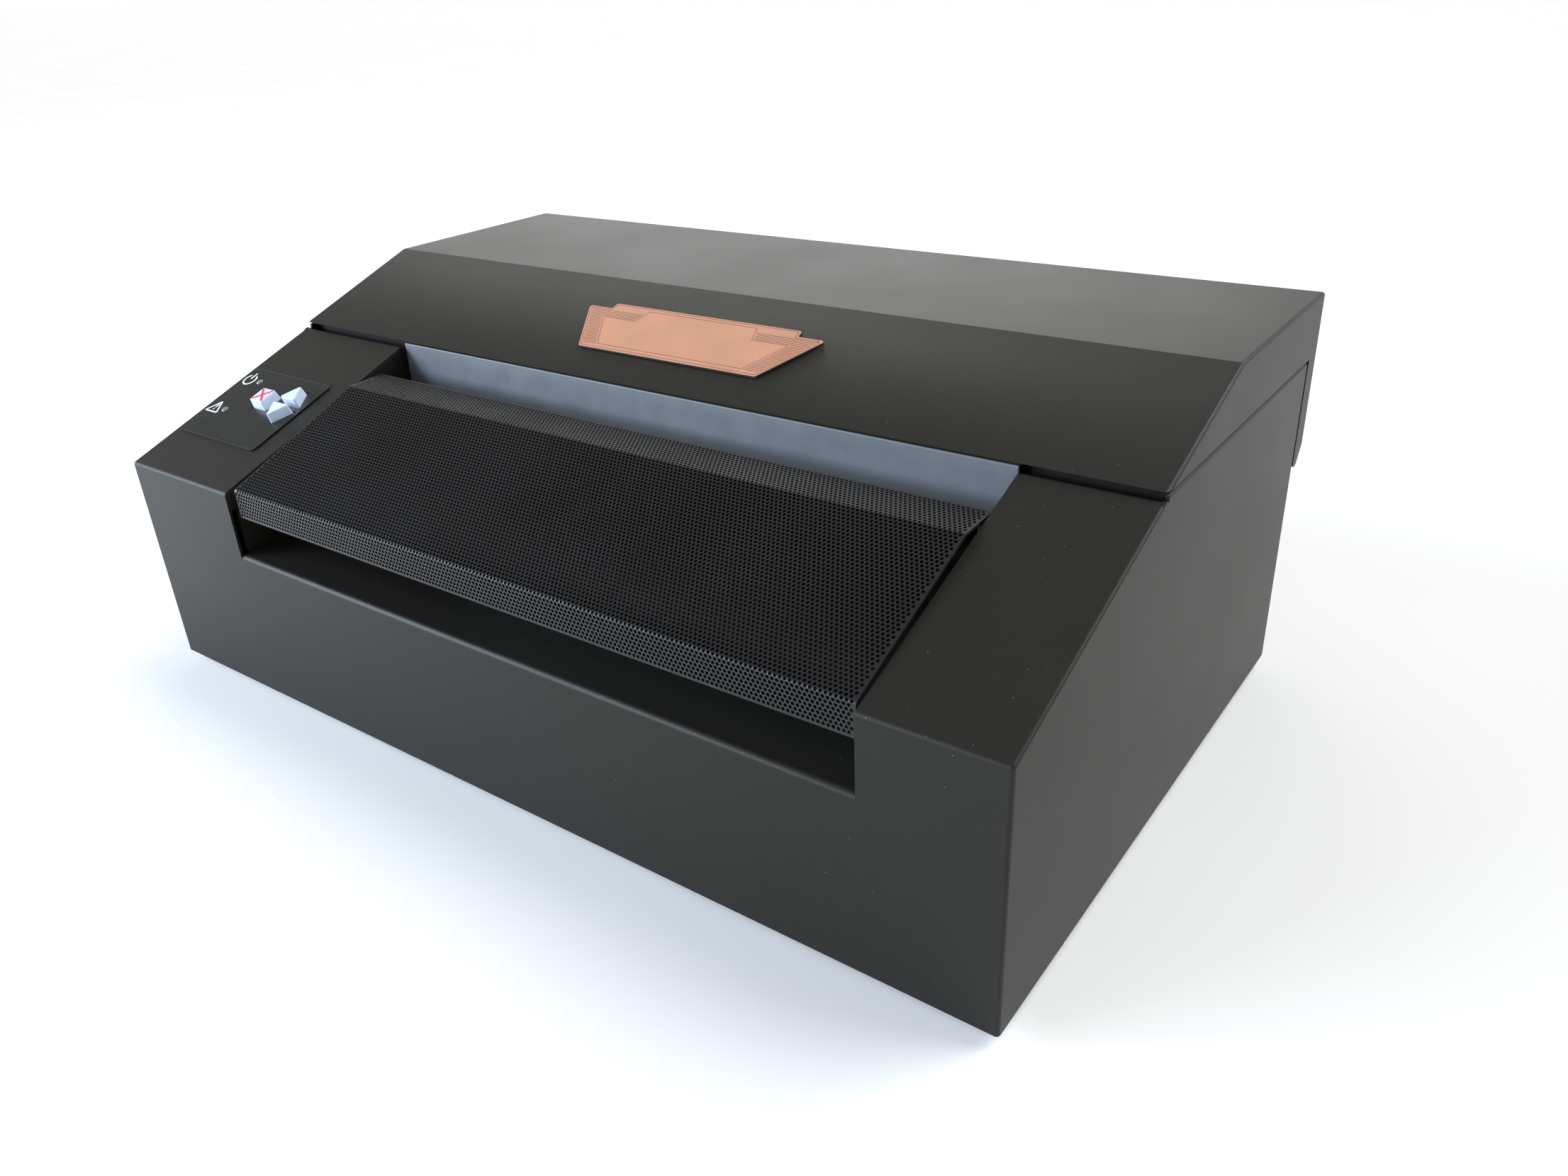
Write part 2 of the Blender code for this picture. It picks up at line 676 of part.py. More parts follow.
def square_key_outline(grow):
    centre_x = OVERLAY_LEFT + SQUARE_KEY_ACROSS
    half = SQUARE_KEY_SIZE / 2 + grow
    return rectangle((centre_x - half, KEY_ROW - half), (centre_x + half, KEY_ROW + half))


def triangle_key_outline(direction, grow):
    """A triangle that points up the slope for +1 and down it for -1."""
    centre_x = OVERLAY_LEFT + TRIANGLE_KEY_ACROSS
    base = KEY_ROW + direction * TRIANGLE_KEY_APART / 2
    half = TRIANGLE_KEY_WIDTH / 2
    tip = base + direction * TRIANGLE_KEY_HEIGHT
    corners = [(centre_x - half, base), (centre_x + half, base), (centre_x, tip)]
    if direction < 0:
        corners.reverse()
    lines = [shifted(corners[i], corners[(i + 1) % 3], grow) for i in range(3)]
    return [meet(lines[i - 1], lines[i]) for i in range(3)]


KEYS = {
    "cancel_key": lambda grow: square_key_outline(grow),
    "feed_key": lambda grow: triangle_key_outline(1, grow),
    "pause_key": lambda grow: triangle_key_outline(-1, grow),
}
LAMPS = {
    "power_lamp": (OVERLAY_LEFT + LAMP_ACROSS, OVERLAY_UP_SLOPE + POWER_LAMP_UP),
    "alert_lamp": (OVERLAY_LEFT + LAMP_ACROSS, OVERLAY_UP_SLOPE + ALERT_LAMP_UP),
}


def control_holes(low, high):
    """Cutters for the keys and the lamps through the sheet or the film between two heights."""
    holes = [plate(name + "_hole", outline(KEY_GAP), low, high, SHOULDER) for name, outline in KEYS.items()]
    holes += [rod(name + "_hole", LAMP_RADIUS + RUNNING_GAP, low, high, centre, SHOULDER, steps=SMALL_STEPS)
              for name, centre in LAMPS.items()]
    return merged("control_holes", holes, SHOULDER)


# Rear wall pieces, in the rear frame's (across, along): across runs to the machine's left
PORT_ACROSS = -(HALF_WIDTH - PORT_CENTRE_INSET)
FAN_ACROSS = HALF_WIDTH - FAN_INSET - FAN_SIZE / 2
FAN_CENTRE = (FAN_ACROSS, FAN_LIFT + FAN_SIZE / 2)


def rear_wall_holes():
    low = -SHEET - CUT_OVERRUN
    high = CUT_OVERRUN
    holes = []
    spacing = 2 * FAN_BORE_RADIUS / FAN_SLOTS
    for i in range(FAN_SLOTS):
        middle = (i + 1 / 2) * spacing - FAN_BORE_RADIUS
        half = math.sqrt(FAN_BORE_RADIUS ** 2 - middle ** 2)
        holes.append(box("vent", (FAN_ACROSS - half, FAN_CENTRE[1] + middle - FAN_SLOT_WIDTH / 2, low),
                         (FAN_ACROSS + half, FAN_CENTRE[1] + middle + FAN_SLOT_WIDTH / 2, high), REAR))
    for lift, width, height in ((INLET_LIFT, INLET_SOCKET_WIDTH, INLET_SOCKET_HEIGHT),
                                (SWITCH_LIFT, ROCKER_WIDTH + ROCKER_SIDE_GAP, ROCKER_HEIGHT),
                                (SOCKET_LIFT, PORT_WIDTH, PORT_HEIGHT)):
        reach_x = width / 2 + RUNNING_GAP
        reach_y = height / 2 + RUNNING_GAP
        holes.append(box("port_hole", (PORT_ACROSS - reach_x, lift - reach_y, low),
                         (PORT_ACROSS + reach_x, lift + reach_y, high), REAR))
    return merged("rear_wall_holes", holes, REAR)


def make_case():
    outline = [(0, 0), (0, FRONT_HEIGHT), (SHOULDER_RUN, FRONT_HEIGHT + SHOULDER_RISE),
               (SHOULDER_RUN + RIM_STEP_RUN, RIM_HEIGHT), (REAR_TOP_DEPTH, RIM_HEIGHT),
               (REAR_BOTTOM_DEPTH, 0)]
    floor = ((0, -CUT_OVERRUN), (REAR_BOTTOM_DEPTH, -CUT_OVERRUN))
    block = [(0, -CUT_OVERRUN)] + outline[1:5] + [meet(outline[4:6], floor)]
    case = soften(plate("case_body", block, -HALF_WIDTH, HALF_WIDTH), FOLD_RADIUS)
    cut(case, box("below_case", (-CASE_WIDTH, -CASE_WIDTH, -CASE_WIDTH), (CASE_WIDTH, CASE_WIDTH, 0)))
    walls = [shifted(outline[i], outline[i + 1], SHEET) for i in range(5)]
    inside = [meet(walls[i], walls[i + 1]) for i in range(4)]
    inside = [meet(walls[0], floor)] + inside + [meet(walls[4], floor)]
    cut(case, plate("case_inside", inside, -HALF_WIDTH + SHEET, HALF_WIDTH - SHEET))
    add(case, box("ledge", (NOTCH_LEFT, SHEET / 2, LEDGE_HEIGHT - SHEET), (NOTCH_RIGHT, LEDGE_RUN, LEDGE_HEIGHT)))
    top = LID_BACK_HEIGHT
    round_edge = arc((LEDGE_ROUND, LEDGE_HEIGHT - LEDGE_ROUND), LEDGE_ROUND, math.pi, math.pi / 2, 4)
    notch = [(-CUT_OVERRUN, top), (-CUT_OVERRUN, LEDGE_HEIGHT - LEDGE_ROUND)] + round_edge
    notch += [(ACCESS_FRONT + CUT_OVERRUN, LEDGE_HEIGHT), (ACCESS_FRONT + CUT_OVERRUN, top)]
    cut(case, plate("notch", notch, NOTCH_LEFT, NOTCH_RIGHT))
    cut(case, box("access", (-HALF_WIDTH + RIM_FLANGE, ACCESS_FRONT, RIM_HEIGHT - SHEET - CUT_OVERRUN),
                  (HALF_WIDTH - RIM_FLANGE, ACCESS_REAR, top)))
    inlet_low = PAPER_HEIGHT - INLET_LIP_DROP
    cut(case, box("paper_inlet", (-HALF_WIDTH + INLET_MARGIN, ACCESS_REAR, inlet_low),
                  (HALF_WIDTH - INLET_MARGIN, OVERALL_DEPTH, inlet_low + INLET_HEIGHT)))
    cut(case, rear_wall_holes())
    cut(case, control_holes(-SHEET - CUT_OVERRUN, CUT_OVERRUN))
    piece(case, "black_paint")


def make_base():
    side = HALF_WIDTH - SHEET - REST_GAP
    front = SHEET + REST_GAP
    rear = rear_depth(PAN_FLANGE) - SHEET - REST_GAP
    pan = box("base_pan", (-side, front, 0), (side, rear, PAN_FLANGE))
    cut(pan, box("pan_inside", (-side + SHEET, front + SHEET, SHEET),
                 (side - SHEET, rear - SHEET, PAN_FLANGE + CUT_OVERRUN)))
    piece(pan, "zinc_steel")
    for name, x, depth in (("foot_front_left", -1, FOOT_INSET), ("foot_front_right", 1, FOOT_INSET),
                           ("foot_rear_left", -1, REAR_BOTTOM_DEPTH - FOOT_INSET),
                           ("foot_rear_right", 1, REAR_BOTTOM_DEPTH - FOOT_INSET)):
        profile = [(0, -REST_GAP), (FOOT_RADIUS, -REST_GAP), (FOOT_RADIUS, -FOOT_HEIGHT / 2),
                   (FOOT_RADIUS - FOOT_TAPER, -FOOT_HEIGHT), (0, -FOOT_HEIGHT)]
        foot = turned(name, profile, CASE, (x * (HALF_WIDTH - FOOT_INSET), depth, 0))
        piece(foot, "rubber")


# Side frames: one plate each side, with bores for what they carry

BELT_LOOP_RADIUS = PULLEY_RADIUS + RUNNING_GAP + BELT_THICKNESS


def frame_bores():
    bore = RUNNING_GAP
    return [circle((EMBOSS_DEPTH - ROD_SPREAD, ROD_CENTRE_HEIGHT), ROD_RADIUS + bore),
            circle((EMBOSS_DEPTH + ROD_SPREAD, ROD_CENTRE_HEIGHT), ROD_RADIUS + bore),
            circle((SUPPORT_DEPTH, SHAFT_HEIGHT), SUPPORT_RADIUS + bore),
            circle((DRIVE_DEPTH, SHAFT_HEIGHT), JOURNAL_RADIUS + bore),
            circle((COVER_PIVOT_DEPTH, COVER_PIVOT_HEIGHT), COVER_PIN_RADIUS + bore, SMALL_STEPS)]


def make_frames():
    low = SHEET + REST_GAP
    front = SHEET + FRAME_EDGE
    below_slope = SHEET / math.cos(SHOULDER_ANGLE) + FRAME_EDGE / 4
    high = RIM_HEIGHT - SHEET - FRAME_HEADROOM
    step = ACCESS_FRONT + FRAME_EDGE
    rear = rear_depth(high) - SHEET - FRAME_EDGE
    outline = [(front, low), (rear, low), (rear, high), (step, high),
               (SHOULDER_RUN, shoulder_height(SHOULDER_RUN) - below_slope),
               (front, shoulder_height(front) - below_slope)]
    window_top = LEDGE_HEIGHT - FRAME_WINDOW_MARGIN
    middle = (front + FEED_MOTOR_DEPTH - MOTOR_SIZE / 2) / 2
    near = rectangle((front + FRAME_WINDOW_MARGIN, low + FRAME_WINDOW_MARGIN),
                     (middle - FRAME_WINDOW_MARGIN / 2, window_top))
    far = rectangle((middle + FRAME_WINDOW_MARGIN / 2, low + FRAME_WINDOW_MARGIN),
                    (FEED_MOTOR_DEPTH - MOTOR_SIZE / 2 - FRAME_WINDOW_MARGIN / 2, window_top))
    windows = [rounded(near, FRAME_WINDOW_ROUND), rounded(far, FRAME_WINDOW_ROUND)]
    left = plate("side_frame_left", outline, FRAME_LEFT_OUT, FRAME_LEFT_IN, holes=frame_bores() + windows)
    piece(left, "black_paint")
    motor_hole = circle((FEED_MOTOR_DEPTH, FEED_MOTOR_HEIGHT), MOTOR_BOSS_RADIUS + REST_GAP)
    right = plate("side_frame_right", outline, FRAME_RIGHT_IN, FRAME_RIGHT_OUT,
                  holes=frame_bores() + windows + [motor_hole])
    clear = BELT_WIDTH / 2 + PULLEY_FLANGE_SHEET + PULLEY_FLANGE
    reach = BELT_LOOP_RADIUS + PULLEY_FLANGE
    cut(right, box("belt_gap", (FRAME_RIGHT_IN - CUT_OVERRUN, BELT_DEPTH - clear, PULLEY_CENTRE_HEIGHT - reach),
                   (FRAME_RIGHT_OUT + CUT_OVERRUN, BELT_DEPTH + clear, high + CUT_OVERRUN)))
    piece(tidied(right), "black_paint")


def make_paper_path():
    left = FRAME_LEFT_IN + GUIDE_END_GAP
    right = FRAME_RIGHT_IN - GUIDE_END_GAP
    start = LEDGE_RUN + REST_GAP
    end = EMBOSS_DEPTH - ANVIL_HALF - REST_GAP - GUIDE_SHEET
    lift = PAPER_HEIGHT - REST_GAP - LEDGE_HEIGHT
    knee = (start + (end - start) * RAMP_KNEE_SHARE, LEDGE_HEIGHT + lift * RAMP_KNEE_RISE_SHARE)
    path = [(start, LEDGE_HEIGHT), knee, (end, LEDGE_HEIGHT + lift)]
    piece(plate("exit_ramp", folded(path, GUIDE_SHEET), left, right), "black_paint")

    anvil_top = PAPER_HEIGHT - REST_GAP
    anvil = box("anvil_bar", (FRAME_LEFT_IN + REST_GAP, EMBOSS_DEPTH - ANVIL_HALF, anvil_top - ANVIL_HEIGHT),
                (FRAME_RIGHT_IN - REST_GAP, EMBOSS_DEPTH + ANVIL_HALF, anvil_top))
    soften(anvil, ANVIL_CHAMFER, 1)
    cut(anvil, box("anvil_groove", (FRAME_LEFT_IN, EMBOSS_DEPTH - ANVIL_GROOVE_WIDTH / 2,
                                    anvil_top - ANVIL_GROOVE_DEPTH),
                   (FRAME_RIGHT_IN, EMBOSS_DEPTH + ANVIL_GROOVE_WIDTH / 2, anvil_top + CUT_OVERRUN)))
    piece(anvil, "bright_steel")

    trough_start = SUPPORT_DEPTH - TRACTOR_PLATE_RADIUS - TROUGH_RUN
    trough_end = DRIVE_DEPTH + TRACTOR_PLATE_RADIUS + TROUGH_RUN
    path = [(EMBOSS_DEPTH + ANVIL_HALF + REST_GAP, anvil_top), (trough_start - TROUGH_RUN, anvil_top),
            (trough_start, TROUGH_HEIGHT), (trough_end, TROUGH_HEIGHT), (trough_end + TROUGH_RUN, anvil_top),
            (rear_depth(anvil_top) - SHEET - REST_GAP, anvil_top)]
    trough = plate("infeed_trough", folded(path, GUIDE_SHEET), left, right)
    piece(trough, "zinc_steel")

    for name, depth in (("guide_rod_front", EMBOSS_DEPTH - ROD_SPREAD), ("guide_rod_rear", EMBOSS_DEPTH + ROD_SPREAD)):
        piece(rod(name, ROD_RADIUS, FRAME_LEFT_OUT, FRAME_RIGHT_OUT, (depth, ROD_CENTRE_HEIGHT)), "bright_steel")
    piece(rod("tractor_support_shaft", SUPPORT_RADIUS, FRAME_LEFT_OUT, FRAME_RIGHT_OUT,
              (SUPPORT_DEPTH, SHAFT_HEIGHT)), "bright_steel")


# Lid

def lid_outline():
    slope = [(LID_TIP_DEPTH, SEAM_HEIGHT), (LID_FOLD_DEPTH, LID_FOLD_HEIGHT), (LID_BACK_DEPTH, LID_BACK_HEIGHT),
             (OVERALL_DEPTH, KNEE_HEIGHT)]
    hinge = (HINGE_DEPTH, HINGE_HEIGHT)
    reach = math.hypot(OVERALL_DEPTH - HINGE_DEPTH, KNEE_HEIGHT - HINGE_HEIGHT)
    facing = math.atan2(KNEE_HEIGHT - HINGE_HEIGHT, OVERALL_DEPTH - HINGE_DEPTH)
    tangent = facing - math.acos(HINGE_EAR_RADIUS / reach)
    ear = arc(hinge, HINGE_EAR_RADIUS, tangent, -math.pi, 8)
    front = (rear_depth(SEAM_HEIGHT) + SWING_GAP, SEAM_HEIGHT)
    return slope + ear + [front]


def make_lid():
    lid_pivot = pivot("lid_pivot", (0, HINGE_DEPTH, HINGE_HEIGHT))
    outline = lid_outline()
    low = HINGE_HEIGHT - HINGE_EAR_RADIUS - CUT_OVERRUN
    below = ((0, low), (OVERALL_DEPTH, low))
    clear = OVERALL_DEPTH + CUT_OVERRUN
    nose = meet((outline[0], outline[1]), below)
    block = [nose, outline[1], outline[2], meet((outline[2], outline[3]), below)]
    lid = soften(plate("lid_shell", block, -HALF_WIDTH, HALF_WIDTH, origin=(HINGE_DEPTH, HINGE_HEIGHT, 0)),
                 FOLD_RADIUS)
    edge = meet((outline[4], outline[3]), ((clear, 0), (clear, SEAM_HEIGHT)))
    under = [(nose[0] - CUT_OVERRUN, low - CUT_OVERRUN), (clear, low - CUT_OVERRUN), edge]
    under += outline[4:] + [(nose[0] - CUT_OVERRUN, SEAM_HEIGHT)]
    cut(lid, plate("lid_underside", under, -CASE_WIDTH, CASE_WIDTH))
    walls = [shifted(outline[i], outline[i + 1], SHEET) for i in range(3)]
    flap_end = KNEE_HEIGHT + FOLD_RADIUS
    flap_line = ((0, flap_end), (OVERALL_DEPTH, flap_end))
    inside = [meet(walls[0], below), meet(walls[0], walls[1]), meet(walls[1], walls[2]),
              meet(walls[2], flap_line), (clear, flap_end), (clear, low)]
    cut(lid, plate("lid_inside", inside, -HALF_WIDTH + SHEET, HALF_WIDTH - SHEET))
    piece(lid, "black_paint", lid_pivot)

    face = LID_TIP_DEPTH + PANEL_SHEET / 2
    inner = shifted(outline[0], outline[1], SHEET + REST_GAP)
    corner = meet(inner, ((face, 0), (face, SEAM_HEIGHT)))
    along = (Vector(inner[1]) - Vector(inner[0])).normalized() * PANEL_FLANGE
    path = [(face, corner[1] - PANEL_HEIGHT), corner, (corner[0] + along.x, corner[1] + along.y)]
    panel = plate("lid_front_panel", folded(path, PANEL_SHEET), NOTCH_LEFT + PANEL_END_GAP,
                  NOTCH_RIGHT - PANEL_END_GAP)
    piece(panel, "black_paint", lid_pivot)

    badge = [(-BADGE_FOOT_HALF, 0), (BADGE_FOOT_HALF, 0), (BADGE_WING_HALF, BADGE_WING_HEIGHT),
             (BADGE_CREST_HALF, BADGE_WING_HEIGHT), (BADGE_CREST_HALF, BADGE_HEIGHT),
             (-BADGE_CREST_HALF, BADGE_HEIGHT), (-BADGE_CREST_HALF, BADGE_WING_HEIGHT),
             (-BADGE_WING_HALF, BADGE_WING_HEIGHT)]
    badge = [(u, v + BADGE_UP_SLOPE) for u, v in rounded(badge, BADGE_ROUND, 2)]
    piece(plate("badge_plate", badge, REST_GAP, REST_GAP + BADGE_THICKNESS, LID_SLOPE), "copper", lid_pivot)

    bracket_out = HALF_WIDTH - SHEET - SWING_GAP
    bracket_in = bracket_out - HINGE_BRACKET_SHEET
    for side, word in ((-1, "left"), (1, "right")):
        pin_out = side * (HALF_WIDTH - SHEET - REST_GAP)
        pin_in = pin_out - side * HINGE_PIN_LENGTH
        pin = rod("hinge_pin_" + word, HINGE_PIN_RADIUS, min(pin_out, pin_in), max(pin_out, pin_in),
                  (HINGE_DEPTH, HINGE_HEIGHT), steps=SMALL_STEPS)
        piece(pin, "bright_steel", lid_pivot)
        make_hinge_bracket("hinge_bracket_" + word, side, bracket_in, bracket_out)


def make_hinge_bracket(name, side, inner, outer):
    """A leaf on the rear wall with a lug that holds the hinge pin."""
    lug = arc((HINGE_DEPTH, HINGE_HEIGHT), HINGE_EAR_RADIUS, -math.pi / 2, math.pi / 2, 8)
    reach = rear_depth(HINGE_HEIGHT) + HINGE_BRACKET_SHEET
    lug += [(reach, HINGE_HEIGHT + HINGE_EAR_RADIUS), (reach, HINGE_HEIGHT - HINGE_EAR_RADIUS)]
    hole = circle((HINGE_DEPTH, HINGE_HEIGHT), HINGE_PIN_RADIUS + RUNNING_GAP, SMALL_STEPS)
    low, high = sorted((side * inner, side * outer))
    bracket = plate(name, lug, low, high, holes=[hole])
    middle = HINGE_HEIGHT / math.cos(REAR_ANGLE)
    leaf_outer = -side * outer
    leaf_inner = -side * (outer - HINGE_LEAF_WIDTH)
    leaf = box(name + "_leaf", (min(leaf_outer, leaf_inner), middle - HINGE_LEAF_HEIGHT / 2, REST_GAP),
               (max(leaf_outer, leaf_inner), middle + HINGE_LEAF_HEIGHT / 2, REST_GAP + HINGE_BRACKET_SHEET), REAR)
    add(bracket, leaf)
    piece(bracket, "bright_steel")


# Perforated cover

def cover_path():
    return [(COVER_SETBACK, COVER_FOLD_HEIGHT - COVER_LIP), (COVER_SETBACK, COVER_FOLD_HEIGHT),
            (COVER_CREST_DEPTH, COVER_CREST_HEIGHT), (COVER_REAR_DEPTH, COVER_REAR_HEIGHT),
            (COVER_REAR_DEPTH, COVER_REAR_HEIGHT - COVER_HEM)]


def make_cover():
    cover_pivot = pivot("cover_pivot", (0, COVER_PIVOT_DEPTH, COVER_PIVOT_HEIGHT))
    sheet = plate("perforated_cover", folded(cover_path(), COVER_SHEET), COVER_LEFT, COVER_RIGHT,
                  origin=(COVER_PIVOT_DEPTH, COVER_PIVOT_HEIGHT, 0))
    centre = (COVER_PIVOT_DEPTH, COVER_PIVOT_HEIGHT)
    top = COVER_REAR_HEIGHT - COVER_SHEET / 2
    ear = arc(centre, COVER_EAR_RADIUS, -math.pi, 0, 8)
    ear += [(COVER_PIVOT_DEPTH + COVER_EAR_RADIUS, top), (COVER_PIVOT_DEPTH - COVER_EAR_RADIUS, top)]
    hole = circle(centre, COVER_PIN_RADIUS + RUNNING_GAP, SMALL_STEPS)
    for word, low in (("left", COVER_LEFT), ("right", COVER_RIGHT - COVER_SHEET)):
        add(sheet, plate("cover_ear_" + word, ear, low, low + COVER_SHEET, holes=[hole]))
    piece(sheet, "black_cover", cover_pivot)
    left_pin = rod("cover_pin_left", COVER_PIN_RADIUS, FRAME_LEFT_OUT, COVER_LEFT + 2 * COVER_SHEET, centre,
                   steps=SMALL_STEPS)
    right_pin = rod("cover_pin_right", COVER_PIN_RADIUS, COVER_RIGHT - 2 * COVER_SHEET, FRAME_RIGHT_OUT, centre,
                    steps=SMALL_STEPS)
    piece(left_pin, "bright_steel")
    piece(right_pin, "bright_steel")


# Control panel

def make_key(name, outline):
    """A tapered cap through the sheet, with a lip under the sheet and a stem over its switch."""
    lip_top = -SHEET - REST_GAP
    points = outline(0)
    centre = [sum(point[k] for point in points) / len(points) for k in range(2)]
    cap = plate(name, rounded(points, KEY_EDGE), lip_top - KEY_LIP_THICKNESS / 2, OVERLAY_THICKNESS + KEY_PROUD,
                SHOULDER, origin=(centre[0], centre[1], 0))
    for vertex in cap.data.vertices:
        if vertex.co.z > 0:
            vertex.co.x *= KEY_TOP_SHARE
            vertex.co.y *= KEY_TOP_SHARE
    add(cap, plate(name + "_lip", rounded(outline(KEY_LIP + KEY_GAP), KEY_EDGE), lip_top - KEY_LIP_THICKNESS,
                   lip_top, SHOULDER))
    add(cap, rod(name + "_stem", KEY_STEM_RADIUS, lip_top - KEY_LIP_THICKNESS - KEY_STEM_LENGTH,
                 lip_top - KEY_LIP_THICKNESS / 2, centre, SHOULDER, steps=SMALL_STEPS))
    piece(cap, "key_plastic")
    return centre


def make_controls():
    corner = (OVERLAY_LEFT, OVERLAY_UP_SLOPE)
    far = (corner[0] + OVERLAY_WIDTH, corner[1] + OVERLAY_LENGTH)
    film = plate("control_overlay", rounded(rectangle(corner, far), OVERLAY_ROUND), REST_GAP,
                 REST_GAP + OVERLAY_THICKNESS, SHOULDER)
    cut(film, control_holes(-CUT_OVERRUN, CUT_OVERRUN))
    piece(film, "overlay_film")
    centres = [make_key(name, outline) for name, outline in KEYS.items()]

    stem_end = -SHEET - REST_GAP - KEY_LIP_THICKNESS - KEY_STEM_LENGTH
    switch_top = stem_end - KEY_TRAVEL - REST_GAP
    board_top = switch_top - SWITCH_HEIGHT
    for name, centre in LAMPS.items():
        lamp = rod(name, LAMP_RADIUS, board_top + REST_GAP, REST_GAP + OVERLAY_THICKNESS, centre, SHOULDER,
                   steps=SMALL_STEPS)
        piece(lamp, "lamp_lens")
    board = box("key_board", (corner[0] + KEY_BOARD_MARGIN, corner[1] + KEY_BOARD_MARGIN, board_top - BOARD_SHEET),
                (far[0] - KEY_BOARD_MARGIN, far[1] - KEY_BOARD_MARGIN, board_top), SHOULDER)
    half = SWITCH_SIZE / 2
    switches = [box("switch", (u - half, v - half, board_top - BOARD_SHEET / 2), (u + half, v + half, switch_top),
                    SHOULDER) for u, v in centres]
    posts = [rod("post", STANDOFF_RADIUS, board_top - BOARD_SHEET / 2, -SHEET - REST_GAP,
                 (u, corner[1] + KEY_BOARD_MARGIN + STANDOFF_RADIUS + REST_GAP), SHOULDER, steps=SMALL_STEPS)
             for u in (corner[0] + KEY_BOARD_MARGIN + STANDOFF_RADIUS + REST_GAP,
                       far[0] - KEY_BOARD_MARGIN - STANDOFF_RADIUS - REST_GAP)]
    add(board, merged("switches", switches + posts, SHOULDER))
    piece(board, "board_green")


# Embossing head carriage and its belt

def make_carriage():
    home = FRAME_LEFT_IN + CARRIAGE_HOME
    carriage_pivot = pivot("carriage_origin", (home, EMBOSS_DEPTH, ROD_CENTRE_HEIGHT))
    front = EMBOSS_DEPTH - CARRIAGE_HALF
    rear = EMBOSS_DEPTH + CARRIAGE_HALF
    low = PAPER_HEIGHT + CARRIAGE_FLOOR
    high = low + CARRIAGE_HEIGHT
    outline = [(front, low), (rear, low), (rear, high), (front + CARRIAGE_NOSE_RUN, high),
               (front, high - CARRIAGE_NOSE_DROP)]
    half = CARRIAGE_WIDTH / 2
    body = soften(plate("head_carriage", outline, home - half, home + half,
                        origin=(EMBOSS_DEPTH, ROD_CENTRE_HEIGHT, home)), CARRIAGE_EDGE)
    bores = [rod("rod_bore", ROD_RADIUS + RUNNING_GAP, home - half - CUT_OVERRUN, home + half + CUT_OVERRUN,
                 (EMBOSS_DEPTH + side * ROD_SPREAD, ROD_CENTRE_HEIGHT)) for side in (-1, 1)]
    cut(body, merged("rod_bores", bores, SIDE))
    coils = []
    for i in range(SOLENOID_COUNT):
        x = home + (i - (SOLENOID_COUNT - 1) / 2) * CARRIAGE_WIDTH / SOLENOID_COUNT
        for depth in (EMBOSS_DEPTH - SOLENOID_RADIUS, EMBOSS_DEPTH + ROD_SPREAD - SOLENOID_RADIUS):
            coils.append(rod("coil", SOLENOID_RADIUS, high - CARRIAGE_EDGE, high + SOLENOID_HEIGHT, (x, depth),
                             CASE, steps=SMALL_STEPS))
    add(body, merged("coils", coils, CASE))
    piece(body, "grey_plastic", carriage_pivot)

    head_low = PAPER_HEIGHT + HEAD_CLEAR
    head = box("hammer_head", (home - HEAD_WIDTH / 2, EMBOSS_DEPTH - HEAD_HALF, head_low),
               (home + HEAD_WIDTH / 2, EMBOSS_DEPTH + HEAD_HALF, low - REST_GAP))
    hammers = [rod("hammer", HAMMER_RADIUS, head_low - HAMMER_REACH, head_low + HAMMER_REACH,
                   (home + (i - (HAMMER_COUNT - 1) / 2) * HEAD_WIDTH / HAMMER_COUNT, EMBOSS_DEPTH), CASE, steps=6)
               for i in range(HAMMER_COUNT)]
    add(head, merged("hammers", hammers, CASE))
    piece(head, "bright_steel", carriage_pivot)

    run_height = PULLEY_CENTRE_HEIGHT - PULLEY_RADIUS - RUNNING_GAP - BELT_THICKNESS / 2
    clamp = box("belt_clamp", (home - CLAMP_WIDTH / 2, rear + REST_GAP, run_height - CLAMP_HALF_HEIGHT),
                (home + CLAMP_WIDTH / 2, BELT_DEPTH + BELT_WIDTH / 2, run_height + CLAMP_HALF_HEIGHT))
    slot = BELT_THICKNESS / 2 + REST_GAP
    cut(clamp, box("belt_slot", (home - CLAMP_WIDTH, BELT_DEPTH - BELT_WIDTH / 2 - REST_GAP, run_height - slot),
                   (home + CLAMP_WIDTH, BELT_DEPTH + BELT_WIDTH, run_height + slot)))
    piece(clamp, "zinc_steel", carriage_pivot)


def make_pulley(name, x, shaft_end):
    """A flanged pulley on an axis that runs from front to back; shaft_end is how deep its shaft goes."""
    start = BELT_DEPTH - BELT_WIDTH / 2 - PULLEY_FLANGE_SHEET - REST_GAP
    stop = BELT_DEPTH + BELT_WIDTH / 2 + PULLEY_FLANGE_SHEET + REST_GAP
    centre = (PULLEY_CENTRE_HEIGHT, x)
    bore = AXLE_RADIUS + RUNNING_GAP
    hole = [] if shaft_end else [circle(centre, bore, SMALL_STEPS)]
    origin = (centre[0], centre[1], BELT_DEPTH)
    wheel = plate(name, circle(centre, PULLEY_RADIUS), start, stop, BACKWARD, origin, holes=hole)
    for low in (start, stop - PULLEY_FLANGE_SHEET):
        add(wheel, plate("flange", circle(centre, PULLEY_RADIUS + PULLEY_FLANGE), low, low + PULLEY_FLANGE_SHEET,
                         BACKWARD, holes=hole))
    if shaft_end:
        add(wheel, rod("shaft", AXLE_RADIUS, stop - PULLEY_FLANGE_SHEET / 2, shaft_end, centre, BACKWARD,
                       steps=SMALL_STEPS))
    piece(smooth(wheel), "aluminium")


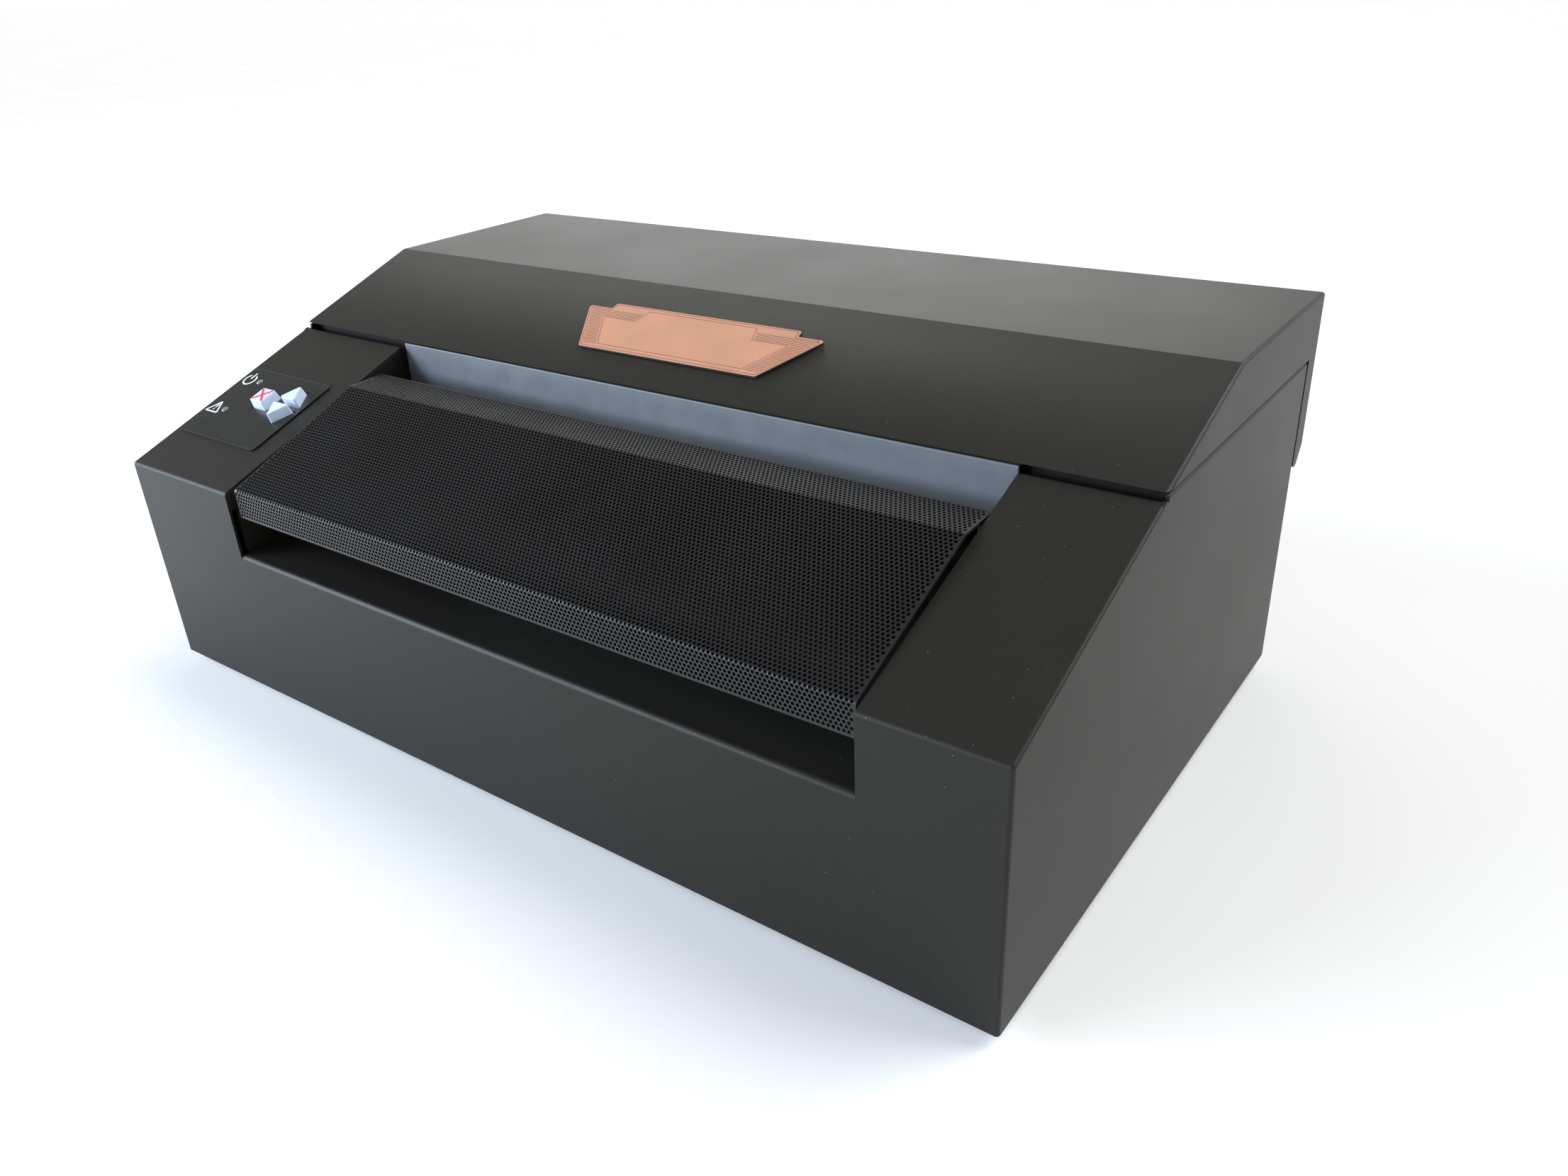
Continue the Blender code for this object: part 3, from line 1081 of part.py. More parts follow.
def motor_outline(centre):
    half = MOTOR_SIZE / 2
    corners = rectangle((centre[0] - half, centre[1] - half), (centre[0] + half, centre[1] + half))
    return rounded(corners, MOTOR_CORNER, 1)


def make_belt_drive():
    bracket_front = BELT_DEPTH + BELT_WIDTH / 2 + PULLEY_FLANGE_SHEET + PULLEY_FLANGE
    bracket_rear = bracket_front + MOTOR_PLATE
    motor_front = bracket_rear + REST_GAP
    centre = (PULLEY_CENTRE_HEIGHT, BELT_MOTOR_X)
    make_pulley("motor_pulley", BELT_MOTOR_X, motor_front - REST_GAP)
    make_pulley("idler_pulley", IDLER_X, 0)

    outer = stadium((IDLER_X, PULLEY_CENTRE_HEIGHT), (BELT_MOTOR_X, PULLEY_CENTRE_HEIGHT), BELT_LOOP_RADIUS)
    inner = stadium((IDLER_X, PULLEY_CENTRE_HEIGHT), (BELT_MOTOR_X, PULLEY_CENTRE_HEIGHT),
                    BELT_LOOP_RADIUS - BELT_THICKNESS)
    forward = frame_at((0, 0, 0), (1, 0, 0), (0, 0, 1))
    belt = plate("carriage_belt", outer, -BELT_DEPTH - BELT_WIDTH / 2, -BELT_DEPTH + BELT_WIDTH / 2, forward,
                 holes=[inner])
    piece(smooth(belt), "rubber")

    motor = plate("carriage_motor", motor_outline(centre), motor_front, motor_front + MOTOR_LENGTH, BACKWARD)
    piece(motor, "black_plastic")
    half = MOTOR_SIZE / 2
    wall = FRAME_RIGHT_OUT + REST_GAP
    mount = box("motor_bracket", (wall, bracket_front, PULLEY_CENTRE_HEIGHT - half - MOTOR_PLATE_RIM),
                (BELT_MOTOR_X + half, bracket_rear, PULLEY_CENTRE_HEIGHT + half))
    add(mount, box("bracket_foot", (wall, bracket_front, PULLEY_CENTRE_HEIGHT - half - MOTOR_PLATE_RIM),
                   (wall + MOTOR_PLATE, bracket_front + MOTOR_LENGTH / 2, PULLEY_CENTRE_HEIGHT - half - REST_GAP)))
    cut(mount, rod("shaft_hole", AXLE_RADIUS + RUNNING_GAP, bracket_front - CUT_OVERRUN,
                   bracket_rear + CUT_OVERRUN, centre, BACKWARD, steps=SMALL_STEPS))
    piece(mount, "zinc_steel")

    idler_half = PULLEY_RADIUS
    arm_left = FRAME_LEFT_IN + REST_GAP
    arm = box("idler_bracket", (arm_left, bracket_front, PULLEY_CENTRE_HEIGHT - idler_half),
              (IDLER_X + idler_half, bracket_rear, PULLEY_CENTRE_HEIGHT + idler_half))
    add(arm, box("idler_foot", (arm_left, bracket_front, PULLEY_CENTRE_HEIGHT - idler_half - MOTOR_PLATE_RIM),
                 (arm_left + MOTOR_PLATE, bracket_rear + PULLEY_RADIUS, PULLEY_CENTRE_HEIGHT + idler_half)))
    pulley_front = BELT_DEPTH - BELT_WIDTH / 2 - PULLEY_FLANGE_SHEET - REST_GAP
    add(arm, rod("idler_axle", AXLE_RADIUS, pulley_front, bracket_rear - MOTOR_PLATE / 2,
                 (PULLEY_CENTRE_HEIGHT, IDLER_X), BACKWARD, steps=SMALL_STEPS))
    piece(arm, "zinc_steel")


# Tractor feed

def make_feed_shaft():
    half = SHAFT_SQUARE / 2
    left = FRAME_LEFT_IN + SWING_GAP
    right = FRAME_RIGHT_IN - SWING_GAP
    gear_start = FRAME_RIGHT_OUT + GEAR_STANDOFF
    gear_stop = gear_start + GEAR_WIDTH
    centre = (DRIVE_DEPTH, SHAFT_HEIGHT)
    shaft = box("feed_shaft", (left, DRIVE_DEPTH - half, SHAFT_HEIGHT - half),
                (right, DRIVE_DEPTH + half, SHAFT_HEIGHT + half), CASE, (0, DRIVE_DEPTH, SHAFT_HEIGHT))
    add(shaft, rod("left_journal", JOURNAL_RADIUS, FRAME_LEFT_OUT - SWING_GAP, left + SWING_GAP, centre))
    add(shaft, rod("right_journal", JOURNAL_RADIUS, right - SWING_GAP, gear_stop + SWING_GAP, centre))
    piece(shaft, "bright_steel")

    bore = circle(centre, JOURNAL_RADIUS + GEAR_BORE_GAP)
    gear = plate("feed_gear", gear_outline(GEAR_TEETH, GEAR_MODULE, GEAR_LEAN, centre), gear_start, gear_stop,
                 origin=(*centre, 0), holes=[bore])
    piece(smooth(gear), "gear_nylon")

    motor_centre = (FEED_MOTOR_DEPTH, FEED_MOTOR_HEIGHT)
    phase = GEAR_LEAN + math.pi + math.pi / PINION_TEETH
    pinion = plate("feed_pinion", gear_outline(PINION_TEETH, GEAR_MODULE, phase, motor_centre), gear_start,
                   gear_stop, origin=(*motor_centre, 0))
    motor_face = FRAME_RIGHT_IN - REST_GAP
    add(pinion, rod("pinion_shaft", FEED_SHAFT_RADIUS, motor_face + REST_GAP, gear_start + GEAR_WIDTH / 2,
                    motor_centre, steps=SMALL_STEPS))
    piece(smooth(pinion), "bright_steel")
    motor = plate("feed_motor", motor_outline(motor_centre), motor_face - MOTOR_LENGTH, motor_face)
    piece(motor, "black_plastic")


def stadium_point(first, second, radius, travel):
    """Place and outward angle at a distance along a stadium, from the middle of its top run."""
    straight = second[0] - first[0]
    turn = math.pi * radius
    travel = (travel + straight / 2) % (2 * straight + 2 * turn)
    if travel < straight:
        return first[0] + travel, first[1] + radius, math.pi / 2
    travel -= straight
    if travel < turn:
        angle = math.pi / 2 - travel / radius
        return second[0] + radius * math.cos(angle), second[1] + radius * math.sin(angle), angle
    travel -= turn
    if travel < straight:
        return second[0] - travel, second[1] - radius, -math.pi / 2
    angle = -math.pi / 2 - (travel - straight) / radius
    return first[0] + radius * math.cos(angle), first[1] + radius * math.sin(angle), angle


def make_tractor(word, side, x):
    """One pin tractor: a frame on both shafts, a sprocket, a pin belt and a hinged door."""
    first = (SUPPORT_DEPTH, SHAFT_HEIGHT)
    second = (DRIVE_DEPTH, SHAFT_HEIGHT)
    belt_half = TRACTOR_BELT_WIDTH / 2
    plate_in = belt_half + SWING_GAP
    plate_out = plate_in + TRACTOR_PLATE
    drive_bore = circle(second, SHAFT_SQUARE * math.sqrt(1 / 2) + SWING_GAP)
    support_bore = circle(first, SUPPORT_RADIUS + RUNNING_GAP)
    drum_bore = circle(first, SUPPORT_RADIUS + SWING_GAP)
    outline = stadium(first, second, TRACTOR_PLATE_RADIUS)

    # The frame: an outer plate, an inner plate and the fixed drum between them
    low, high = sorted((x + side * plate_in, x + side * plate_out))
    body = plate("tractor_frame_" + word, outline, low, high, origin=(SUPPORT_DEPTH, SHAFT_HEIGHT, x),
                 holes=[drive_bore, support_bore])
    add(body, plate("drum", circle(first, TRACTOR_DRUM_RADIUS), x - plate_in - TRACTOR_PLATE / 2,
                    x + plate_in + TRACTOR_PLATE / 2, holes=[drum_bore]))
    inner_low, inner_high = sorted((x - side * plate_in, x - side * plate_out))
    add(body, plate("inner_plate", outline, inner_low, inner_high, holes=[drive_bore, support_bore]))
    axis_x = x + side * (plate_in + plate_out) / 2
    axis_height = SHAFT_HEIGHT + TRACTOR_PLATE_RADIUS + DOOR_BARREL_RADIUS + REST_GAP
    lug_low = SHAFT_HEIGHT
    ends = (SUPPORT_DEPTH - TRACTOR_BELT_OUTER, DRIVE_DEPTH + TRACTOR_BELT_OUTER)
    for start in (ends[0], ends[1] - DOOR_LUG):
        add(body, box("lug", (low + DOOR_LUG_INSET, start, lug_low),
                      (high - DOOR_LUG_INSET, start + DOOR_LUG, axis_height + DOOR_BARREL_RADIUS)))
    pin_hole = rod("door_pin_hole", DOOR_PIN_RADIUS + RUNNING_GAP, ends[0] - CUT_OVERRUN, ends[1] + CUT_OVERRUN,
                   (axis_height, axis_x), BACKWARD, steps=SMALL_STEPS)
    cut(body, pin_hole)
    piece(tidied(body), "black_plastic")

    # The sprocket rides on the square shaft
    half = SHAFT_SQUARE / 2 + SPROCKET_BORE_GAP
    square = rectangle((DRIVE_DEPTH - half, SHAFT_HEIGHT - half), (DRIVE_DEPTH + half, SHAFT_HEIGHT + half))
    sprocket = plate("tractor_sprocket_" + word, circle(second, TRACTOR_DRUM_RADIUS), x - belt_half, x + belt_half,
                     origin=(DRIVE_DEPTH, SHAFT_HEIGHT, x), holes=[square])
    piece(smooth(sprocket), "grey_plastic")

    # The belt with its pins
    belt = plate("tractor_belt_" + word, stadium(first, second, TRACTOR_BELT_OUTER), x - belt_half, x + belt_half,
                 origin=(SUPPORT_DEPTH, SHAFT_HEIGHT, x),
                 holes=[stadium(first, second, TRACTOR_BELT_OUTER - TRACTOR_BELT_THICKNESS)])
    loop = 2 * SHAFT_SPREAD + 2 * math.pi * TRACTOR_BELT_OUTER
    pins = []
    for i in range(TRACTOR_PIN_COUNT):
        depth, height, angle = stadium_point(first, second, TRACTOR_BELT_OUTER, loop * i / TRACTOR_PIN_COUNT)
        stem = rod("pin", TRACTOR_PIN_RADIUS, -TRACTOR_BELT_THICKNESS / 2, TRACTOR_PIN_HEIGHT, (0, 0), SIDE, steps=8,
                   tip=TRACTOR_PIN_RADIUS * TRACTOR_PIN_TIP_SHARE)
        outward = Vector((0, math.cos(angle), math.sin(angle)))
        place = frame_at((x, depth, height), Vector((1, 0, 0)).cross(outward), (1, 0, 0))
        stem.matrix_world = place
        pins.append(stem)
    add(belt, merged("pins", pins, CASE))
    piece(belt, "rubber")

    # The door: a slotted plate with a barrel and two stub pins
    door_low, door_high = sorted((axis_x, x - side * plate_out))
    start = ends[0] + DOOR_LUG + REST_GAP
    stop = ends[1] - DOOR_LUG - REST_GAP
    slot_half = DOOR_SLOT_WIDTH / 2
    rim = DOOR_LUG
    slot = rectangle((x - slot_half, start + rim), (x + slot_half, stop - rim))
    underside = axis_height - DOOR_BARREL_RADIUS + REST_GAP
    door = plate("tractor_door_" + word, rectangle((door_low, start), (door_high, stop)), underside,
                 underside + DOOR_SHEET, CASE, (axis_x, 0, axis_height), holes=[slot])
    add(door, rod("barrel", DOOR_BARREL_RADIUS, start, stop, (axis_height, axis_x), BACKWARD, steps=SMALL_STEPS))
    add(door, rod("stub", DOOR_PIN_RADIUS, ends[0], ends[1], (axis_height, axis_x), BACKWARD, steps=SMALL_STEPS))
    piece(door, "grey_plastic")


# Electrical pieces

def make_electrics():
    rear = rear_depth(0) - SHEET
    left = FRAME_LEFT_IN + SUPPLY_INSET
    low = SHEET + REST_GAP
    supply = box("power_supply", (left, rear - SUPPLY_REAR_GAP - SUPPLY_DEPTH, low),
                 (left + SUPPLY_WIDTH, rear - SUPPLY_REAR_GAP, low + SUPPLY_HEIGHT))
    soften(supply, FOLD_RADIUS, 1)
    pitch = SUPPLY_WIDTH / (SUPPLY_SLOTS + 1)
    middle = rear - SUPPLY_REAR_GAP - SUPPLY_DEPTH / 2
    slots = [box("slot", (left + pitch * (i + 1) - SUPPLY_SLOT_WIDTH / 2, middle - SUPPLY_SLOT_LENGTH / 2,
                          low + SUPPLY_HEIGHT - SHEET),
                 (left + pitch * (i + 1) + SUPPLY_SLOT_WIDTH / 2, middle + SUPPLY_SLOT_LENGTH / 2,
                  low + SUPPLY_HEIGHT + CUT_OVERRUN)) for i in range(SUPPLY_SLOTS)]
    cut(supply, merged("supply_slots", slots, CASE))
    piece(supply, "aluminium")

    board_left = left + SUPPLY_WIDTH + MAIN_BOARD_INSET
    board_rear = rear - SUPPLY_REAR_GAP
    board_low = low + STANDOFF_HEIGHT
    board_top = board_low + BOARD_SHEET
    board = box("control_board", (board_left, board_rear - MAIN_BOARD_DEPTH, board_low),
                (board_left + MAIN_BOARD_WIDTH, board_rear, board_top))
    inset = STANDOFF_RADIUS * 2
    extras = [rod("standoff", STANDOFF_RADIUS, low, board_top - BOARD_SHEET / 2, (u, v), CASE, steps=SMALL_STEPS)
              for u in (board_left + inset, board_left + MAIN_BOARD_WIDTH - inset)
              for v in (board_rear - inset, board_rear - MAIN_BOARD_DEPTH + inset)]
    middle_x = board_left + MAIN_BOARD_WIDTH / 2
    middle_y = board_rear - MAIN_BOARD_DEPTH / 2
    for i in (-1, 1):
        extras.append(rod("capacitor", CAPACITOR_RADIUS, board_top - BOARD_SHEET / 2, board_top + CAPACITOR_HEIGHT,
                          (middle_x + i * CAPACITOR_RADIUS * 2, middle_y - CAPACITOR_RADIUS * 3), CASE,
                          steps=SMALL_STEPS))
    extras.append(box("heatsink", (middle_x - HEATSINK_WIDTH / 2, middle_y, board_top - BOARD_SHEET / 2),
                      (middle_x + HEATSINK_WIDTH / 2, middle_y + HEATSINK_DEPTH, board_top + HEATSINK_HEIGHT)))
    add(board, merged("board_parts", extras, CASE))
    piece(board, "board_green")
    make_fan()
    make_inlet()
    make_rocker()
    make_port()


def make_fan():
    top = -SHEET - REST_GAP
    low = top - FAN_DEPTH
    half = FAN_SIZE / 2
    corner = (FAN_CENTRE[0] - half, FAN_CENTRE[1] - half)
    far = (FAN_CENTRE[0] + half, FAN_CENTRE[1] + half)
    frame = plate("fan_frame", rounded(rectangle(corner, far), MOTOR_CORNER), low, top, REAR,
                  holes=[circle(FAN_CENTRE, FAN_BORE_RADIUS, FINE_STEPS)])
    reach = FAN_BORE_RADIUS + (half - FAN_BORE_RADIUS) / 2
    arm = FAN_SPIDER_WIDTH / 2
    add(frame, box("spider", (FAN_CENTRE[0] - reach, FAN_CENTRE[1] - arm, low),
                   (FAN_CENTRE[0] + reach, FAN_CENTRE[1] + arm, low + FAN_SPIDER_DEPTH), REAR))
    add(frame, rod("fan_post", FAN_HUB_RADIUS / 2, low, low + FAN_SPIDER_DEPTH, FAN_CENTRE, REAR, steps=SMALL_STEPS))
    piece(frame, "black_plastic")

    rotor_low = low + FAN_SPIDER_DEPTH + REST_GAP
    rotor_top = top - SWING_GAP
    rotor = rod("fan_rotor", FAN_HUB_RADIUS, rotor_low, rotor_top, FAN_CENTRE, REAR,
                (*FAN_CENTRE, (rotor_low + rotor_top) / 2))
    tip = FAN_BORE_RADIUS - FAN_BLADE_GAP
    chord = (rotor_top - rotor_low - FAN_BLADE_GAP * 2) / math.cos(FAN_BLADE_LEAN)
    blades = []
    for i in range(FAN_BLADES):
        blade = box("blade", (FAN_HUB_RADIUS * 3 / 4, -chord / 2, -FAN_BLADE_THICKNESS / 2),
                    (tip - FAN_BLADE_GAP, chord / 2, FAN_BLADE_THICKNESS / 2), CASE)
        spin = Matrix.Rotation(2 * math.pi * i / FAN_BLADES, 4, "Z")
        lean = Matrix.Rotation(math.pi / 2 - FAN_BLADE_LEAN, 4, "X")
        middle = Matrix.Translation((*FAN_CENTRE, (rotor_low + rotor_top) / 2))
        blade.matrix_world = REAR @ middle @ spin @ lean
        blades.append(blade)
    for blade in blades:
        add(rotor, blade)
    piece(rotor, "black_plastic")


def make_inlet():
    half_x = INLET_SOCKET_WIDTH / 2
    half_y = INLET_SOCKET_HEIGHT / 2
    flange_x = half_x + INLET_SOCKET_FLANGE
    flange_y = half_y + INLET_SOCKET_FLANGE
    top = REST_GAP + INLET_FLANGE_SHEET
    body = box("power_inlet", (PORT_ACROSS - flange_x, INLET_LIFT - flange_y, REST_GAP),
               (PORT_ACROSS + flange_x, INLET_LIFT + flange_y, top), REAR)
    add(body, box("inlet_body", (PORT_ACROSS - half_x, INLET_LIFT - half_y, -INLET_BODY_DEPTH),
                  (PORT_ACROSS + half_x, INLET_LIFT + half_y, top - INLET_FLANGE_SHEET / 2), REAR))
    cut(body, box("inlet_cavity", (PORT_ACROSS - half_x + INLET_WALL, INLET_LIFT - half_y + INLET_WALL,
                                   -INLET_BODY_DEPTH + INLET_WALL),
                  (PORT_ACROSS + half_x - INLET_WALL, INLET_LIFT + half_y - INLET_WALL, top + CUT_OVERRUN), REAR))
    floor = -INLET_BODY_DEPTH + INLET_WALL / 2
    pins = []
    for i in (-1, 0, 1):
        x = PORT_ACROSS + i * INLET_PIN_SPREAD
        y = INLET_LIFT + (INLET_PIN_RAISE if i == 0 else -INLET_PIN_RAISE)
        pins.append(box("blade", (x - INLET_PIN_WIDTH / 2, y - INLET_PIN_HEIGHT / 2, floor),
                        (x + INLET_PIN_WIDTH / 2, y + INLET_PIN_HEIGHT / 2, floor + INLET_PIN_LENGTH), REAR))
    add(body, merged("inlet_pins", pins, REAR))
    piece(body, "black_plastic")


def make_rocker():
    """A rocker whose face is two flats that meet in a shallow valley, on a pivot inside the wall."""
    half_x = ROCKER_WIDTH / 2 - REST_GAP
    half_y = ROCKER_HEIGHT / 2 - REST_GAP
    sink = -ROCKER_DEPTH
    valley = ROCKER_PROUD / 3
    outline = [(-half_x, sink), (half_x, sink), (half_x, ROCKER_PROUD), (0, valley), (-half_x, valley)]
    local = REAR @ Matrix.Translation((PORT_ACROSS, SWITCH_LIFT, 0)) @ Matrix.Rotation(math.pi / 2, 4, "X")
    shape = plate("power_switch", outline, -half_y, half_y, local, (0, -SHEET / 2, 0))
    piece(shape, "black_plastic")


def make_port():
    half_x = PORT_WIDTH / 2
    half_y = PORT_HEIGHT / 2
    shell = box("data_port", (PORT_ACROSS - half_x, SOCKET_LIFT - half_y, -PORT_DEPTH),
                (PORT_ACROSS + half_x, SOCKET_LIFT + half_y, REST_GAP), REAR)
    cut(shell, box("port_cavity", (PORT_ACROSS - half_x + PORT_WALL, SOCKET_LIFT - half_y + PORT_WALL,
                                   -PORT_DEPTH + PORT_WALL),
                   (PORT_ACROSS + half_x - PORT_WALL, SOCKET_LIFT + half_y - PORT_WALL, CUT_OVERRUN), REAR))
    piece(shell, "zinc_steel")


make_case()
make_base()
make_frames()
make_paper_path()
make_lid()
make_cover()
make_controls()
make_carriage()
make_belt_drive()
make_feed_shaft()
make_tractor("left", -1, FRAME_LEFT_IN + TRACTOR_REACH_IN)
make_tractor("right", 1, FRAME_RIGHT_IN - TRACTOR_REACH_IN)
make_electrics()
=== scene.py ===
# Looks of the braille embosser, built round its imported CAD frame.
# Metres, +Z up, the front looks towards -Y, in the same frame as the CAD.

import json
import math

import bmesh
import bpy
import numpy as np
from mathutils import Matrix, Vector


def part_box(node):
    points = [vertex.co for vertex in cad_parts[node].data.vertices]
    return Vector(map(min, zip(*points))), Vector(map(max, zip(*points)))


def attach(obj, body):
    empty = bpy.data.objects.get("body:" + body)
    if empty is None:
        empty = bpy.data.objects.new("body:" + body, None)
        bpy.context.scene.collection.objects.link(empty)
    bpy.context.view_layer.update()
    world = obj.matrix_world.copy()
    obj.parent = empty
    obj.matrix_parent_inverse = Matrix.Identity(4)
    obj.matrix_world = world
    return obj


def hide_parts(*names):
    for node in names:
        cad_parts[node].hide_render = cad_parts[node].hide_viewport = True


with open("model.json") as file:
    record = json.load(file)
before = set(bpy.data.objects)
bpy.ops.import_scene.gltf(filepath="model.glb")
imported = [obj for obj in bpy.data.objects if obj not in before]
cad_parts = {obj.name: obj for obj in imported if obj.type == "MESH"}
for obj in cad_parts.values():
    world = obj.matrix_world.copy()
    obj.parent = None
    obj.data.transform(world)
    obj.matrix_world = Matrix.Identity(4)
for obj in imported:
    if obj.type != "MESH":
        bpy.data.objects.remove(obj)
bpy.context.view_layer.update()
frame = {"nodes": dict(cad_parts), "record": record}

# Sizes that the CAD gives
CASE_LOW, CASE_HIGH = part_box("case_body")
COVER_LOW, COVER_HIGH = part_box("perforated_cover")
HALF_WIDTH = CASE_HIGH.x
FRONT = CASE_LOW.y
FLOOR_LIFT = CASE_LOW.z

# Case and lid profile: (depth from the front face, height above the case's lower edge)
SHEET = 0.0015
THIN_EDGE = 0.0003
FOLD_RADIUS = 0.0017
FOLD_STEPS = 5
SHOULDER_FRONT = (0, 0.1274)
SHOULDER_REAR = (0.1284, 0.1754)
RIM_FRONT = (0.1318, 0.1788)
RIM_REAR = (0.3391, 0.1788)
FOOT_REAR = (0.3457, 0)
SEAM_HEIGHT = 0.1800
LID_TIP = (0.1329, SEAM_HEIGHT)
LID_FOLD = (0.2170, 0.2110)
LID_BACK = (0.3533, 0.2127)
LID_KNEE = (0.3572, 0.1312)
HINGE = (0.3463, 0.1223)
HINGE_EAR_RADIUS = 0.0040
SKIRT_REAR_GAP = 0.0010
NOTCH_LEFT = -0.1890
NOTCH_RIGHT = 0.2205
LEDGE_HEIGHT = 0.0900
LEDGE_RUN = 0.0420
LEDGE_ROUND = 0.0030
RIM_FLANGE = 0.0120
ACCESS_FRONT = 0.1471
GUTTER_FRONT = 0.1304
GUTTER_ROUND = 0.0022
GUTTER_FLOOR = 0.1680
GUTTER_REAR = 0.1400
GUTTER_NICK = 0.1345
GUTTER_SIDE = 0.0018
FLANGE_DEPTH = 0.0100
INLET_HALF = 0.2150
INLET_LOW = 0.1300
INLET_HIGH = 0.1580

# Perforated cover, unrolled: lip, slope and rear strip
COVER_PROFILE = [(0.0033, 0.1133), (0.0033, 0.1295), (0.0870, 0.1649), (0.1104, 0.1660)]
COVER_SHEET = 0.0012
COVER_BEND = 0.0016
HOLE_PITCH = 0.002356
ROW_PITCH = HOLE_PITCH * math.sqrt(3) / 2
HOLE_RADIUS = 0.00088
HOLE_SIDES = 8
COVER_RIM = 0.0006
COVER_HEM = 0.0080
COVER_PIVOT = (0.1040, 0.1570)
COVER_EAR = 0.0045
COVER_EYE = 0.0021

# Control panel
OVERLAY_THICKNESS = 0.0006
OVERLAY_LOW = (-0.2817, 0.0328)
OVERLAY_HIGH = (-0.2045, 0.0950)
OVERLAY_ROUND = 0.0028
KEY_PROUD = 0.0062
KEY_EDGE = 0.0009
KEY_TOP_SHARE = 0.90
FILM_LIFT = 0.0003
FILM_TOP = FILM_LIFT + OVERLAY_THICKNESS
INK_HEIGHT = 0.00008
LAMP_RADIUS = 0.0023
LAMP_GAP = 0.0002
LAMP_SIDES = 24
CUT_TOP = 0.3

# Camera, solved from the photograph's straight edges
IMAGE_WIDTH = 2212
FOCAL_PIXELS = 1690.63
SENSOR = 36.0
CAMERA_PLACE = Vector((0.42265, -0.48941, 0.37629))
CAMERA_FORWARD = Vector((-0.53144264, 0.71323563, -0.45701602))
CAMERA_UP = Vector((-0.23787912, 0.39214521, 0.88861446))

# Studio: a dim surround, a broad bright wall behind, a wide soft sun and two cool lamps
SURROUND = (0.37, 0.362, 0.34, 1)
SKYLINE = (1, 1, 1, 1)
SKYLINE_TOP = 0.24
SURROUND_FROM = 0.36
WALL_TOWARDS = (-0.56, 0.82, 0.11)
WALL_EDGE = (0.85, 1.0)
WALL_STRENGTH = 1.7
SUN_FROM = (0.42, 0.52, 0.73)
SUN_COLOUR = (0.96, 0.985, 1.0)
SUN_STRENGTH = 2.75
SUN_SPREAD = 50
# Place, size, colour and power
AREA_LAMPS = {
    "cool_strip": ((-1.5, -1.7, 0.62), (1.8, 0.5), (0.77, 0.87, 1.0), 60),
    "fold_fill": ((-2.1, -1.45, 1.65), (1.0, 0.4), (0.72, 0.84, 1.0), 46),
}


def place(across, depth, height):
    """A point in the row frame from the case's own measures."""
    return Vector((across, FRONT + depth, FLOOR_LIFT + height))


def local_frame(origin, across, along):
    """A frame with its first two axes given; the third is their cross product."""
    first = Vector(across).normalized()
    second = Vector(along).normalized()
    turn = Matrix((first, second, first.cross(second))).transposed().to_4x4()
    return Matrix.Translation(origin) @ turn


def slope_frame(start, stop):
    """Across the machine, up the slope and out of it."""
    return local_frame(place(0, *start), (1, 0, 0), (0, stop[0] - start[0], stop[1] - start[1]))


CASE = Matrix.Translation(place(0, 0, 0))
SIDE = local_frame(place(0, 0, 0), (0, 1, 0), (0, 0, 1))
SHOULDER = slope_frame(SHOULDER_FRONT, SHOULDER_REAR)
LID_SLOPE = slope_frame(LID_TIP, LID_FOLD)
REAR = local_frame(place(0, *FOOT_REAR), (-1, 0, 0), (0, RIM_REAR[0] - FOOT_REAR[0], RIM_REAR[1]))


# Materials: each is a small node tree of noise, so that no surface is one flat colour

def nodes_of(name):
    material = bpy.data.materials.new(name)
    material.use_nodes = True
    tree = material.node_tree
    return material, tree, tree.nodes["Principled BSDF"]


def settle(node, values):
    for socket, value in values.items():
        node.inputs[socket].default_value = value
    return node


def noise(tree, scale, detail):
    """A noise in the object's own metres."""
    where = tree.nodes.get("where") or tree.nodes.new("ShaderNodeTexCoord")
    where.name = "where"
    node = settle(tree.nodes.new("ShaderNodeTexNoise"), {"Scale": scale, "Detail": detail})
    tree.links.new(where.outputs["Object"], node.inputs["Vector"])
    return node


def remap(tree, source, low, high, from_low=0.35, from_high=0.65):
    ends = {"From Min": from_low, "From Max": from_high, "To Min": low, "To Max": high}
    node = settle(tree.nodes.new("ShaderNodeMapRange"), ends)
    tree.links.new(source, node.inputs["Value"])
    return node.outputs["Result"]


def mix_colour(tree, factor, first, second):
    node = tree.nodes.new("ShaderNodeMix")
    node.data_type = "RGBA"
    tree.links.new(factor, node.inputs["Factor"])
    for socket, value in (("A", first), ("B", second)):
        target = [s for s in node.inputs if s.name == socket and s.type == "RGBA"][0]
        if isinstance(value, tuple):
            target.default_value = (*value, 1)
        else:
            tree.links.new(value, target)
    return [s for s in node.outputs if s.type == "RGBA"][0]


